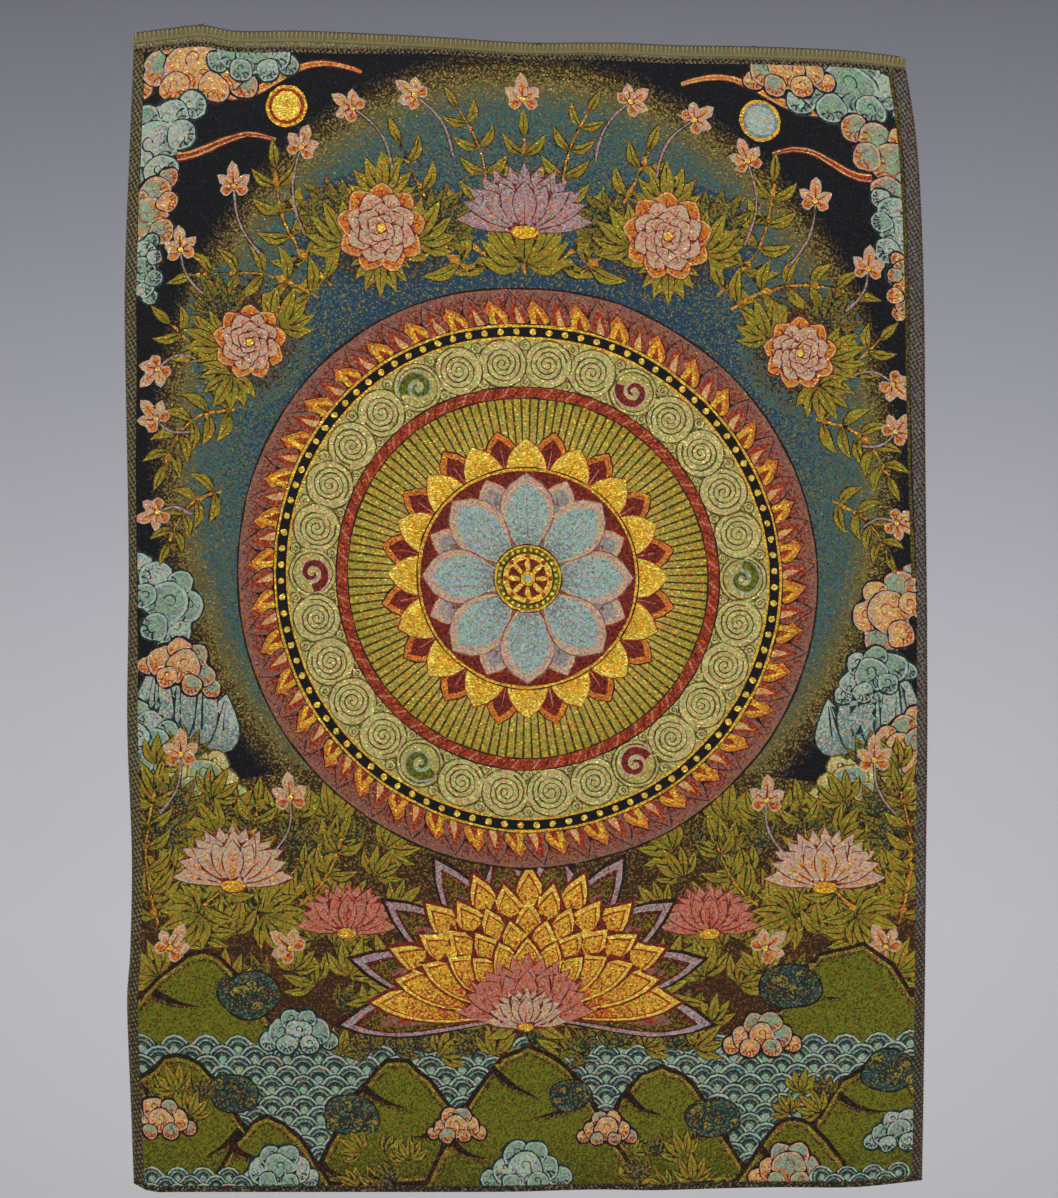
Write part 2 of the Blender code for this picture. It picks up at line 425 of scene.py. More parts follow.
def leans(spread, count):
    """Leans in degrees, evenly spread about none, the outermost first."""
    even = (spread * (number / (count - 1) - 0.5) for number in range(count))
    return sorted(even, key=abs, reverse=True)


def part_way(start, end, share):
    return start + (end - start) * share


def oval(centre, wide, tall, count, lean=0.0):
    steps = (360 * step / count for step in range(count))
    return [
        centre + turn(lean) * complex(wide * turn(step).real, tall * turn(step).imag)
        for step in steps
    ]


def disc(centre, radius, count=16):
    return oval(centre, radius, radius, count)


def discs(cartoon, centre, count, *rings):
    """Discs about one point, each of a radius and a dye and over the ones before it."""
    for radius, dye in rings:
        cartoon.add(disc(centre, radius, count), dye)


def box(left, low, right, high):
    return [complex(left, low), complex(right, low), complex(right, high), complex(left, high)]


def petal(root, tip, width, belly=0.5, count=6, blunt=1.0, bend=0.0):
    """A pointed outline from root to tip, widest at `belly` of its length."""
    axis = tip - root
    side = axis / abs(axis) * 1j
    power = math.log(0.5) / math.log(belly)
    steps = [step / count for step in range(1, count)]

    def at(t, sign):
        half = width / 2 * math.sin(math.pi * t**power) ** blunt
        return root + axis * t + side * (sign * half + bend * math.sin(math.pi * t))

    return [root] + [at(t, 1) for t in steps] + [tip] + [at(t, -1) for t in reversed(steps)]


def ribbon(path, start, end=None):
    """The outline of a line, `start` mm wide where it begins and `end` mm where it ends."""
    end = start if end is None else end
    last = len(path) - 1
    left, right = [], []
    for step, point in enumerate(path):
        ahead = path[min(step + 1, last)] - path[max(step - 1, 0)]
        half = (start + (end - start) * step / last) / 2 * 1j * ahead / abs(ahead)
        left.append(point + half)
        right.append(point - half)
    return left + right[::-1]


def steps_of(count):
    """Shares from 0 to 1 in so many steps."""
    return [step / count for step in range(count + 1)]


def swung(start, end, swing, shares, waves=0.5):
    """Points at shares of the way between two ends, `swing` mm to the left at the most."""
    way = end - start
    left = way / abs(way) * 1j
    return [start + way * t + left * swing * math.sin(2 * math.pi * waves * t) for t in shares]


def bow(start, end, bend, count=8):
    """A path between two points that swings `bend` mm to its left."""
    return swung(start, end, bend, steps_of(count))


def snake(start, end, swing, count):
    """A path between two points that swings to its left and then as far to its right."""
    return swung(start, end, swing, steps_of(count), 1.0)


def spiral(centre, radius, turns, start, count, inner=0.12):
    """A path that winds inwards from `radius`, anticlockwise where turns is positive."""
    reaches = ((t, radius * (1 - (1 - inner) * t)) for t in steps_of(count))
    return [centre + turn(start + 360 * turns * t) * reach for t, reach in reaches]


def grown(outline, by):
    """An outline whose edge is moved outwards by so many mm."""
    following = outline[1:] + outline[:1]
    doubled = sum((a.conjugate() * b).imag for a, b in zip(outline, following))
    outwards = -1j if doubled > 0 else 1j
    made = []
    for last, point, following_point in zip(outline[-1:] + outline[:-1], outline, following):
        before, after = point - last, following_point - point
        normal = before / max(abs(before), 1e-9) + after / max(abs(after), 1e-9)
        if abs(normal) < 1e-6:
            normal = after
        made.append(point + outwards * normal / abs(normal) * by)
    return made


def lump(at, wide, tall, seed, count=40):
    """A rounded, uneven outline."""
    chance = random.Random(seed)
    waves = [(number, chance.uniform(0.02, 0.05), chance.uniform(0, 360)) for number in (2, 3, 4)]
    outline = []
    for step in range(count):
        angle = 360 * step / count
        reach = 1 + sum(high * turn(number * angle + start).real for number, high, start in waves)
        outline.append(at + complex(wide * turn(angle).real, tall * turn(angle).imag) * reach)
    return outline


# ---- leaves and flowers

# What a leaf is given where it lies in the shade.
IN_SHADE = True


def leaf(cartoon, root, tip, bend=0.0, shaded=False):
    """A pointed leaf with a dark line round it and along its vein."""
    outline = petal(root, tip, abs(tip - root) * 0.32, 0.42, 5, bend=bend)
    lit = Fade(LEAF_DEEP, LEAF, root, part_way(root, tip, 0.7))
    cartoon.framed(outline, LEAF_LINE, 0.9, Fade(BRUSH, LEAF_DEEP, root, tip) if shaded else lit)
    cartoon.add(ribbon(swung(root, tip, bend, (0.08, 0.45, 0.82)), 1.1, 0.6), LEAF_LINE)


def along(path, share):
    """The point and the direction at a share of a path's points."""
    place = min(max(share, 0.0), 0.9999) * (len(path) - 1)
    step = int(place)
    ahead = path[step + 1] - path[step]
    return path[step] + ahead * (place - step), ahead / abs(ahead)


def sprig(cartoon, path, longest, pairs):
    """A stem with pairs of leaves along it and one at its end."""
    cartoon.framed(ribbon(path, 2.2, 1.0), LEAF_LINE, 0.7, OLD_GOLD)
    for pair in range(pairs):
        share = (pair + 0.35) / pairs
        root, ahead = along(path, share)
        length = longest * (1 - 0.25 * share)
        for side in (1, -1):
            tip = root + ahead * turn(side * (58 - 14 * share)) * length
            leaf(cartoon, root, tip, side * length * 0.12)
    root, ahead = along(path, 1.0)
    leaf(cartoon, root, root + ahead * longest * 0.75)


def fan(cartoon, root, facing, length, shaded=False, count=7, spread=150.0):
    """Leaves that spread from one point and droop at their ends."""
    for lean in leans(spread, count):
        reach = length * (1 - 0.22 * abs(lean) / 90)
        leaf(cartoon, root, root + turn(facing + lean) * reach, lean / 90 * reach * 0.16, shaded)


def undergrowth(cartoon, left, low, right, high, step, seed):
    """Fans of leaves over a stretch of ground, the higher ones behind."""
    chance = random.Random(seed)
    rows = max(1, round((high - low) / step))
    for row in range(rows, -1, -1):
        across = left + step * (0.5 if row % 2 else 0.0)
        while across <= right:
            root = complex(across, low + (high - low) * row / rows)
            root += complex(chance.uniform(-0.3, 0.3), chance.uniform(-0.3, 0.3)) * step
            facing = 90 + chance.uniform(-65, 65)
            length = step * chance.uniform(0.95, 1.3)
            fan(cartoon, root, facing, length, chance.random() < 0.35, 5, 120)
            across += step


def blossom(cartoon, at, size, facing):
    """A small bell of a flower: two curled petals behind and three pointed ones in front."""
    for lean, reach, wide in (
        (112, 0.52, 0.40), (-112, 0.52, 0.40), (58, 0.66, 0.36), (-58, 0.66, 0.36), (0, 0.86, 0.40)
    ):
        tip = at + turn(facing + lean) * size * reach
        outline = petal(at - turn(facing) * size * 0.06, tip, size * wide, 0.6, 6, 0.8)
        fill = Fade(BRICK, ORANGE, at, tip) if abs(lean) > 90 else Fade(ORANGE, BLUSH, at, tip)
        cartoon.framed(grown(outline, -1.1), BLUSH, 1.4, fill)
        vein = [part_way(at, tip, share) for share in (0.1, 0.6)]
        cartoon.add(ribbon(vein, 0.9, 0.5), MAROON)
    cartoon.framed(disc(at, size * 0.10, 7), MAROON, 0.7, BRIGHT_GOLD)


def stemmed_blossom(cartoon, root, at, bend, size):
    """A blossom that faces the way its thin stem ends."""
    path = bow(root, at, bend, 7)
    _, ahead = along(path, 1.0)
    cartoon.framed(ribbon(path, 1.7, 1.2), LEAF_LINE, 0.8, LILAC)
    blossom(cartoon, at, size, math.degrees(cmath.phase(ahead)))


def ruffle(centre, radius, facing, count=14):
    """A petal's round outline with a wavy free edge."""
    outline = []
    for step in range(count):
        angle = 360 * step / count
        wave = 1 + 0.09 * math.cos(math.radians(4 * angle)) * (1 + math.cos(math.radians(angle))) / 2
        outline.append(centre + turn(facing + angle) * radius * wave)
    return outline


PeonyRing = namedtuple("PeonyRing", "petals reach radius turned warm")
PEONY = rows_of(
    PeonyRing,
    (9, 0.72, 0.32, 0, True),
    (8, 0.52, 0.30, 20, False),
    (6, 0.31, 0.26, 0, False),
    (4, 0.13, 0.20, 30, False),
)


def peony(cartoon, at, size):
    """A full flower of ruffled petals, `size` mm across, with warmer petals outside."""
    half = size / 2
    for ring in PEONY:
        inner, outer = (BRICK, ORANGE) if ring.warm else (ROSE, BLUSH)
        for number in range(ring.petals):
            facing = 90 + ring.turned + 360 * number / ring.petals
            way, radius = turn(facing) * half, half * ring.radius
            heart = at + way * ring.reach
            root = at + way * max(ring.reach - ring.radius, 0)
            tip = heart + way * ring.radius
            cartoon.framed(ruffle(heart, radius, facing), MAROON, 0.8, APRICOT if ring.warm else BLUSH)
            cartoon.add(ruffle(heart, radius - 1.2, facing, 10), Fade(inner, outer, root, tip))
            fold = bow(part_way(root, tip, 0.3), part_way(root, tip, 0.78), 0.6, 3)
            cartoon.add(ribbon(fold, 1.0, 0.6), MAROON if ring.warm else BRICK)
    cartoon.framed(disc(at, half * 0.11, 8), MAROON, 0.8, BRIGHT_GOLD)


# A lotus's rows of petals, the outer ones first.
LotusRow = namedtuple("LotusRow", "petals spread reach width")
LOTUS = rows_of(
    LotusRow,
    (7, 164, 1.00, 0.27), (6, 132, 0.96, 0.29), (5, 96, 0.88, 0.31), (3, 50, 0.74, 0.34),
)
LOTUS_BACK = (LotusRow(10, 184, 1.00, 0.25),)
LOTUS_FRONT = rows_of(
    LotusRow,
    (9, 168, 1.00, 0.27), (8, 147, 0.89, 0.26), (7, 126, 0.77, 0.25), (6, 105, 0.65, 0.23),
    (5, 84, 0.53, 0.21),
)


def lotus(cartoon, at, size, inner=MAUVE, outer=BLUSH):
    """An open lotus seen from its side, with pointed petals `size` mm long."""
    for row in LOTUS:
        for lean in leans(row.spread, row.petals):
            tip = at + turn(90 + lean) * size * row.reach
            bend = -lean / 90 * size * 0.07
            outline = petal(at, tip, size * row.width, 0.56, 7, bend=bend)
            cartoon.framed(outline, MAROON, 0.9, outer)
            low, middle, high = (part_way(at, tip, share) for share in (0.12, 0.62, 0.84))
            heart = petal(low, high, size * row.width * 0.55, 0.54, 5, bend=bend)
            cartoon.add(heart, Fade(inner, outer, low, tip))
            cartoon.add(ribbon(bow(low, middle, bend, 4), 0.9, 0.4), MAROON)
    cartoon.framed(oval(at, size * 0.2, size * 0.1, 10), MAROON, 0.8, GOLD)


def banded_lotus(cartoon, at, size, rows, bands, veins=0):
    """A large lotus whose petals are nested bands, each a share of the petal's width."""
    for row in rows:
        for lean in leans(row.spread, row.petals):
            axis = turn(90 + lean) * size * row.reach
            bend = -lean / 90 * size * 0.05
            for share, dye in bands:
                root = at + axis * (1 - share) * 0.5
                tip = at + axis * (1 - (1 - share) * 0.45)
                if isinstance(dye, tuple) and not isinstance(dye, (Dye, Fade)):
                    dye = Fade(*dye, at + axis * 0.2, at + axis)
                cartoon.add(petal(root, tip, size * row.width * share, 0.6, 9, 0.85, bend), dye)
            for number in range(veins):
                side = number - (veins - 1) / 2
                start = at + axis * 0.3
                end = at + axis * turn(side * 5.0) * (0.76 - 0.05 * abs(side))
                cartoon.add(ribbon(bow(start, end, bend * 0.5, 4), 0.7, 0.5), OLD_GOLD)


# ---- clouds, hills and water

Curl = namedtuple("Curl", "across up radius wound")
CLOUD = rows_of(
    Curl,
    (-1.75, -0.42, 0.50, 1), (1.85, -0.38, 0.52, -1), (-1.02, 0.05, 0.74, 1),
    (1.08, 0.10, 0.76, -1), (-0.42, 0.86, 0.66, 1), (0.55, 0.92, 0.58, -1), (0.02, 0.12, 0.86, 1),
    (-0.70, -0.62, 0.52, -1), (0.66, -0.62, 0.54, 1),
)
CloudDyes = namedtuple("CloudDyes", "line rim heart light shade curl")
COOL = CloudDyes(PINE, FROST, AQUA, FROST, STEEL, PINE)
WARM = CloudDyes(PITCH, BLUSH, APRICOT, AQUA, ORANGE, BRICK)
PALE = CloudDyes(REED, CREAM, AQUA, CREAM, BUTTER, REED)


def cloud(cartoon, at, size, dyes, lean=0.0):
    """A bank of round lobes, each shaded from one side, with short curls in it."""
    way = turn(lean)
    chance = random.Random(int(at.real * 7 + at.imag))
    centres = [at + way * complex(curl.across, curl.up) * size for curl in CLOUD]
    radii = [curl.radius * size * chance.uniform(0.88, 1.14) for curl in CLOUD]
    for centre, radius in zip(centres, radii):
        cartoon.add(disc(centre, radius + 1.6, 20), dyes.line)
    for centre, radius, curl in zip(centres, radii, CLOUD):
        seed = int(radius * 91)
        cartoon.framed(lump(centre, radius, radius * 0.96, seed, 20), dyes.line, 0.9, dyes.rim)
        heart = dyes.light if chance.random() < 0.45 else dyes.heart
        lit = centre + way * 0.35j * radius
        cartoon.add(
            lump(centre, radius * 0.86, radius * 0.82, seed, 18),
            Fade(heart, dyes.shade, radius * 0.4, radius * 1.3, lit),
        )
        for number in (-2, -1, 0, 1, 2):
            rim = turn(-90 + 30 * number * curl.wound)
            start = centre + way * rim * radius * 0.86
            end = centre + way * rim * turn(30 * curl.wound) * radius * chance.uniform(0.2, 0.55)
            cartoon.add(ribbon(bow(start, end, curl.wound * radius * 0.14, 4), 1.4, 0.6), dyes.curl)
        if curl.wound > 0:
            wound = spiral(centre + way * 0.2j * radius, radius * 0.34, 0.8, lean - 40, 8, 0.4)
            cartoon.add(ribbon(wound, 1.2, 0.6), dyes.curl)


def streamer(cartoon, path, width, dye):
    """A ribbon of vapour in three bands."""
    cartoon.add(ribbon(path, width + 2.0, width * 0.3 + 1.6), MAROON)
    cartoon.add(ribbon(path, width, width * 0.3), APRICOT)
    cartoon.add(ribbon(path, width * 0.55, width * 0.15), dye)


# One rounded wave's nested arcs: each a share of its radius, and its dye.
SCALE_WAVE = (
    (1.0, PINE), (0.93, FROST), (0.81, BRUSH), (0.64, STEEL), (0.54, PINE), (0.42, BRUSH),
    (0.26, AQUA),
)


def water(cartoon, left, right, low, high, radius):
    """Rows of waves, each half a wave along from the row above it and in front of it."""
    step = radius * 0.62
    for row in range(int((high - low) / step) + 1):
        across = left + (radius if row % 2 else 0.0)
        while across <= right:
            at = complex(across, high - row * step - radius)
            discs(cartoon, at, 12, *((radius * share, dye) for share, dye in SCALE_WAVE))
            across += 2 * radius


def hill(cartoon, left, right, foot, peak, lean=0.0, seed=1, notches=3):
    """A green hill with an uneven bright edge and dark clefts down its slopes."""
    chance = random.Random(seed)
    count = 18
    wide, tall = right - left, peak - foot
    outline = [complex(right, foot), complex(left, foot)]
    for step in range(count + 1):
        t = step / count
        reach = tall * math.sin(math.pi * t) ** (1.2 + lean * (1 if t < 0.5 else -1))
        reach += tall * chance.uniform(-0.025, 0.025) * (0 < step < count)
        outline.append(complex(left + wide * t, foot + max(reach, 0.0)))
    middle = (left + right) / 2
    cartoon.add(grown(outline, 3.4), PITCH)
    cartoon.add(outline, HILL_EDGE)
    cartoon.add(grown(outline, -2.6), THICKET)
    fill = Fade(HILL_DEEP, HILL, complex(middle, foot), complex(middle, foot + tall * 0.5))
    cartoon.add(grown(outline, -5.0), fill)
    for number in range(notches):
        share = (number + 1.6) / (notches + 1.2)
        side = 1 if number % 2 else -1
        high = math.sin(math.pi * (0.5 - 0.5 * share)) ** 1.2
        start = complex(middle + side * wide * 0.5 * share, foot + tall * (high - 0.01))
        end = start - complex(side * wide * chance.uniform(0.16, 0.26), tall * chance.uniform(0.10, 0.2))
        bend = side * chance.uniform(2.0, 5.0)
        cartoon.add(ribbon(bow(start - 2.6j, end - 1.6j, bend, 5), 9.0, 0.5), THICKET)
        cartoon.add(ribbon(bow(start, end, bend, 5), 6.0, 0.5), PITCH)


def grove(cartoon, at, size, seed):
    """A clump of round tree heads over a dark thicket."""
    chance = random.Random(seed)
    cartoon.add(lump(at, size * 1.15, size * 0.85, seed), PITCH)
    cartoon.add(lump(at, size * 1.08, size * 0.78, seed), BRUSH)
    heads = [complex(chance.uniform(-0.9, 0.9), chance.uniform(-0.5, 0.5)) * size for _ in range(12)]
    for head in sorted(heads, key=lambda place: -place.imag):
        radius = size * chance.uniform(0.2, 0.3)
        light = THICKET if chance.random() < 0.5 else LEAF
        cartoon.add(disc(at + head, radius + 0.9, 10), PINE)
        lit = at + head + radius * 0.5j
        cartoon.add(disc(at + head, radius, 10), Fade(light, BRUSH, 0, radius * 1.2, lit))


def cliff(cartoon, foot, size, lean, count=5):
    """A pale mountain of pointed flakes with streaks running down them."""
    for number in range(count):
        across = (number / (count - 1) - 0.5) * 1.3
        share = 1 - 0.9 * abs(across) + 0.07 * (number % 2)
        root = foot + complex(across * size * 0.55, -size * 0.1)
        tip = foot + complex((across * 0.6 + lean * 0.12) * size, size * share)
        flake = petal(root, tip, size * 0.34, 0.36, 7)
        cartoon.framed(flake, PINE, 1.2, Fade(STEEL, FROST, root, part_way(root, tip, 0.85)))
        for shift in (-0.07, 0.0, 0.07):
            low = root + complex(shift * size, size * 0.2)
            streak = [low, part_way(low, tip, 0.45), part_way(low, tip, 0.82)]
            cartoon.add(ribbon(streak, 1.6, 0.5), PINE)


# ---- the mandala


def petal_ring(cartoon, centre, inner, outer, count, wide, dyes, turned=0.0, veins=1):
    """A ring of petals that point outwards: line, rim, fill and vein dyes, from outside in."""
    line, rim, fill, vein = dyes
    for way in ways(count, turned):
        root, tip = centre + way * inner, centre + way * outer
        cartoon.framed(petal(root, tip, wide, 0.58, 8, 0.72), line, 0.9, rim)
        cartoon.add(petal(root, part_way(root, tip, 0.9), wide * 0.78, 0.58, 7, 0.72), fill)
        for place in range(veins):
            lean = (place - (veins - 1) / 2) * wide * 0.2
            low = root + way * complex((outer - inner) * 0.12, lean * 0.4)
            high = root + way * complex((outer - inner) * (0.74 - 0.012 * abs(lean)), lean)
            cartoon.add(ribbon([low, (low + high) / 2 + way * 0.12j * lean, high], 1.2, 0.6), vein)


def ray_ring(cartoon, centre, inner, outer, count):
    """Thin dark rays on the field."""
    for number in range(count):
        way = turn(360 * (number + 0.5) / count)
        low = inner if number % 2 else inner + (outer - inner) * 0.25
        cartoon.add(ribbon([centre + way * low, centre + way * outer], 1.0, 1.9), RAY_LINE)


def rope_ring(cartoon, centre, outer, thick, count):
    """A ring of twisted cord, seen as slanting strands."""
    discs(cartoon, centre, 96, (outer + 1.0, PITCH), (outer, BRICK))
    inner = outer - thick
    slant = turn(360 / count * 0.7)
    for number, way in enumerate(ways(count)):
        strand = [centre + way * (outer - 0.4), centre + way * slant * (inner + 0.4)]
        cartoon.add(ribbon(strand, 1.5), ROSE if number % 2 else MAROON)
    cartoon.add(disc(centre, inner, 96), PITCH)


def bead_ring(cartoon, centre, radius, size, count, dye):
    for number in range(count):
        cartoon.add(disc(centre + turn(360 * (number + 0.5) / count) * radius, size, 7), dye)


def flame_ring(cartoon, centre, inner, outer, count):
    """Tongues of flame that all lean one way."""
    wide = 2 * math.pi * inner / count * 1.15
    for number, way in enumerate(ways(count)):
        even = number % 2 == 0
        root = centre + way * (inner - 4)
        tip = centre + way * turn(3.0) * (outer if even else outer - 6)
        edge, body, heart = (MAUVE, BRICK, APRICOT) if even else (ORANGE, GOLD, BRICK)
        cartoon.framed(petal(root, tip, wide, 0.36, 7, bend=2.4), PITCH, 0.8, edge)
        for share, breadth, points, bend, dye in ((0.82, 0.66, 5, 1.8, body), (0.6, 0.3, 4, 1.2, heart)):
            tongue = petal(root, part_way(root, tip, share), wide * breadth, 0.36, points, bend=bend)
            cartoon.add(tongue, dye)


def scroll_ring(cartoon, centre, inner, outer, count):
    """Cream curls side by side, red and green ones among them."""
    middle, half = (inner + outer) / 2, (outer - inner) / 2
    for number, way in enumerate(ways(count)):
        angle = math.degrees(cmath.phase(way))
        wound = 1 if number % 2 else -1
        between = way * turn(180 / count)
        for reach, radius in ((outer - 4.6, 4.6), (inner + 4.2, 4.4)):
            at = centre + between * reach
            discs(cartoon, at, 12, (radius, REED), (radius - 0.9, CREAM))
            cartoon.add(ribbon(spiral(at, radius * 0.55, 1.2, angle, 9, 0.2), 0.9), REED)
        heart = centre + way * middle
        discs(cartoon, heart, 22, (half + 0.4, REED), (half - 0.8, CREAM))
        if number % 5 == 0:
            dye, rim = (MAROON, BLUSH) if number % 2 else (HILL, AQUA)
            curl = spiral(heart, half * 0.62, 1.3 * wound, angle + 90, 22, 0.12)
            discs(cartoon, heart, 20, (half * 0.86, REED), (half * 0.80, BUTTER))
            cartoon.add(ribbon(curl, half * 0.5, half * 0.2), rim)
            cartoon.add(ribbon(curl, half * 0.36, half * 0.08), dye)
        else:
            curl = spiral(heart, half * 0.80, 3.4 * wound, angle + 40 * number, 42, 0.06)
            cartoon.add(ribbon(curl, 1.3, 1.0), REED)


def wheel(cartoon, centre, radius):
    """A gold wheel of eight spokes."""
    cartoon.framed(disc(centre, radius, 32), PITCH, 1.0, BRIGHT_GOLD)
    cartoon.add(disc(centre, radius * 0.78, 28), MAROON)
    for way in ways(8):
        cartoon.add(petal(centre, centre + way * radius * 0.98, radius * 0.2, 0.6, 5), BRIGHT_GOLD)
        cartoon.add(disc(centre + way * radius * 0.9, radius * 0.1, 7), BRICK)
    cartoon.framed(disc(centre, radius * 0.3, 14), PITCH, 0.7, GOLD)
    cartoon.add(disc(centre, radius * 0.14, 8), ICE)


def mandala(cartoon, centre, radius):
    """Rings about a lotus: flames, beads, curls, a rope, rays, gold petals and pale ones."""
    ember = Fade(MAROON, MAUVE, radius - 20, radius, centre)
    discs(cartoon, centre, 96, (radius + 1.0, PITCH), (radius - 0.6, ember))
    flame_ring(cartoon, centre, radius - 27, radius - 2.5, 80)
    bands = radius - 27
    discs(cartoon, centre, 96, (bands, PITCH), (bands - 0.9, GOLD), (bands - 2.8, NIGHT))
    bead_ring(cartoon, centre, bands - 6.6, 2.6, 96, BRIGHT_GOLD)
    discs(cartoon, centre, 96, (bands - 10.4, GOLD), (bands - 12.0, BUTTER))
    scroll_ring(cartoon, centre, bands - 50, bands - 12.4, 30)
    rope_ring(cartoon, centre, bands - 50, 8.0, 110)
    field = bands - 59
    cartoon.add(disc(centre, field, 96), Fade(RAY_FIELD, RAY_EDGE, 90, field * 1.1, centre))
    ray_ring(cartoon, centre, 90, field, 128)
    gold_leaf = (BRICK, BRIGHT_GOLD, Fade(OLD_GOLD, GOLD, 60, 92, centre), OLD_GOLD)
    petal_ring(cartoon, centre, 60, 116, 16, 27, (PITCH, ORANGE, MAROON, ROSE), 11.25)
    petal_ring(cartoon, centre, 50, 109, 16, 31, gold_leaf, 0, 5)
    cartoon.framed(disc(centre, 86, 72), PITCH, 1.0, GOLD)
    cartoon.add(disc(centre, 84, 72), MAROON)
    back = (BRICK, BLUSH, Fade(STEEL, LILAC, 40, 84, centre), MAUVE)
    front = (MAUVE, BLUSH, Fade(STEEL, ICE, 18, 44, centre), LILAC)
    petal_ring(cartoon, centre, 20, 82, 8, 30, back, 22.5, 3)
    petal_ring(cartoon, centre, 16, 82, 8, 42, front, 0, 3)
    cartoon.framed(disc(centre, 26, 40), PITCH, 0.9, GOLD)
    cartoon.add(disc(centre, 24.5, 40), HILL)
    bead_ring(cartoon, centre, 22.4, 1.3, 28, BRIGHT_GOLD)
    wheel(cartoon, centre, 19.5)


# ---- the picture

MANDALA_AT = 478j
MANDALA_RADIUS = 226.0
SKY_AT = 560j
SKY_TALL = 1.12

MarginWidth = namedtuple("MarginWidth", "up left right")
MARGIN_WIDTHS = rows_of(
    MarginWidth,
    (0.0, 8.2, 7.8), (400.0, 7.6, 7.8), (480.0, 6.0, 8.0), (560.0, 6.0, 10.4), (640.0, 8.4, 11.4),
    (PANEL_TALL, 8.6, 11.6),
)
MARGIN_STRIP_FROM = 480.0
MARGIN_STRIP_WIDE = 3.4
FOOT_TWILL_TALL = 196.0
SIDE_WRAP_WIDE = 1.8
FOOT_BAND_TALL = 4.6
SEAM_ROW_TALL = 4.0
LINE = 0.5
# How far the heading's light row is woven past the allowance.
HEAD_ROW_LAP = 0.4


def each(cartoon, draw, *places):
    """The same motif at several places: each row holds what the motif's function needs."""
    for place in places:
        draw(cartoon, *place)


def ground(cartoon):
    """The night ground, the speckled blue field and the dark land."""
    cartoon.add(box(-HALF_WIDE, 0, HALF_WIDE, PANEL_TALL), NIGHT)
    for wide, near, far, start in (
        (296, DUSK, NIGHT, 280),
        (284, SKY_RIM, DUSK, 268),
        (272, HAZE, SKY_RIM, 252),
        (256, SKY, HAZE, 160),
    ):
        fade = Fade(near, far, start, wide, SKY_AT, 1 / SKY_TALL)
        cartoon.add(oval(SKY_AT, wide, wide * SKY_TALL, 72), fade)
    land = [complex(-HALF_WIDE, 0), complex(HALF_WIDE, 0), complex(HALF_WIDE, 300)]
    land += bow(complex(HALF_WIDE, 306), complex(-HALF_WIDE, 306), -30, 18)
    cartoon.add(land, Fade(THICKET, DUSK, 180j, 330j))


def upper_clouds(cartoon):
    """One side's bank of cloud beside the sun or the moon."""
    first, second = (COOL, WARM) if cartoon.side > 0 else (WARM, COOL)
    streamer(cartoon, snake(262 + 852j, 128 + 866j, 9, 22), 8, ORANGE)
    streamer(cartoon, snake(290 + 800j, 196 + 812j, 7, 18), 7, BRICK)
    each(
        cartoon, cloud,
        (262 + 864j, 23, first), (290 + 806j, 22, second, -60), (214 + 876j, 16, second),
        (292 + 752j, 17, first, -80), (296 + 712j, 12, second, -90),
    )


def side_clouds(cartoon):
    """One side's pale cliff with clouds over and under it."""
    first, second = (WARM, COOL) if cartoon.side > 0 else (COOL, WARM)
    cliff(cartoon, 276 + 346j, 92, -0.6)
    each(
        cartoon, cloud,
        (284 + 452j, 19, first, 70), (268 + 402j, 15, second, 20), (292 + 344j, 15, first, 80),
        (252 + 318j, 15, PALE, 10),
    )


def patch(cartoon, at, wide, tall, beyond):
    """Dark growth whose edge runs out into what is round it."""
    cartoon.add(oval(at, wide, tall, 28), Fade(THICKET, beyond, wide * 0.4, wide, at, wide / tall))


def sky_flowers(cartoon):
    """One side's garland over the mandala: sprigs, peonies and small blossoms."""
    each(cartoon, patch, (112 + 744j, 70, 46, SKY), (216 + 662j, 50, 56, HAZE))
    each(
        cartoon, sprig,
        (bow(20 + 722j, 98 + 812j, -12), 31, 5), (bow(44 + 716j, 172 + 760j, 14), 32, 6),
        (bow(150 + 700j, 196 + 790j, -12), 31, 5), (bow(160 + 690j, 256 + 704j, 12), 30, 5),
        (bow(212 + 636j, 276 + 668j, -8), 28, 4), (bow(226 + 604j, 282 + 560j, 12), 28, 5),
        (bow(238 + 540j, 280 + 500j, 8), 24, 4), (bow(30 + 764j, 52 + 842j, 8), 26, 4),
    )
    each(
        cartoon, fan,
        (66 + 752j, 150, 34, IN_SHADE), (84 + 738j, 120, 36), (148 + 752j, 50, 36, IN_SHADE),
        (140 + 734j, 60, 36), (112 + 772j, 90, 34), (112 + 722j, -90, 30),
        (190 + 668j, 110, 32), (236 + 678j, 60, 32, IN_SHADE), (236 + 652j, 20, 32),
        (228 + 630j, -60, 30),
    )
    each(
        cartoon, stemmed_blossom,
        (56 + 804j, 86 + 850j, 7, 22), (104 + 792j, 136 + 838j, 8, 22),
        (172 + 740j, 176 + 806j, -8, 22), (206 + 724j, 228 + 776j, -6, 22),
        (250 + 690j, 268 + 724j, -5, 22), (256 + 640j, 286 + 634j, 6, 22),
        (262 + 584j, 288 + 596j, -5, 22), (262 + 520j, 288 + 524j, 5, 22),
    )
    each(cartoon, peony, (112 + 746j, 66), (214 + 656j, 54))


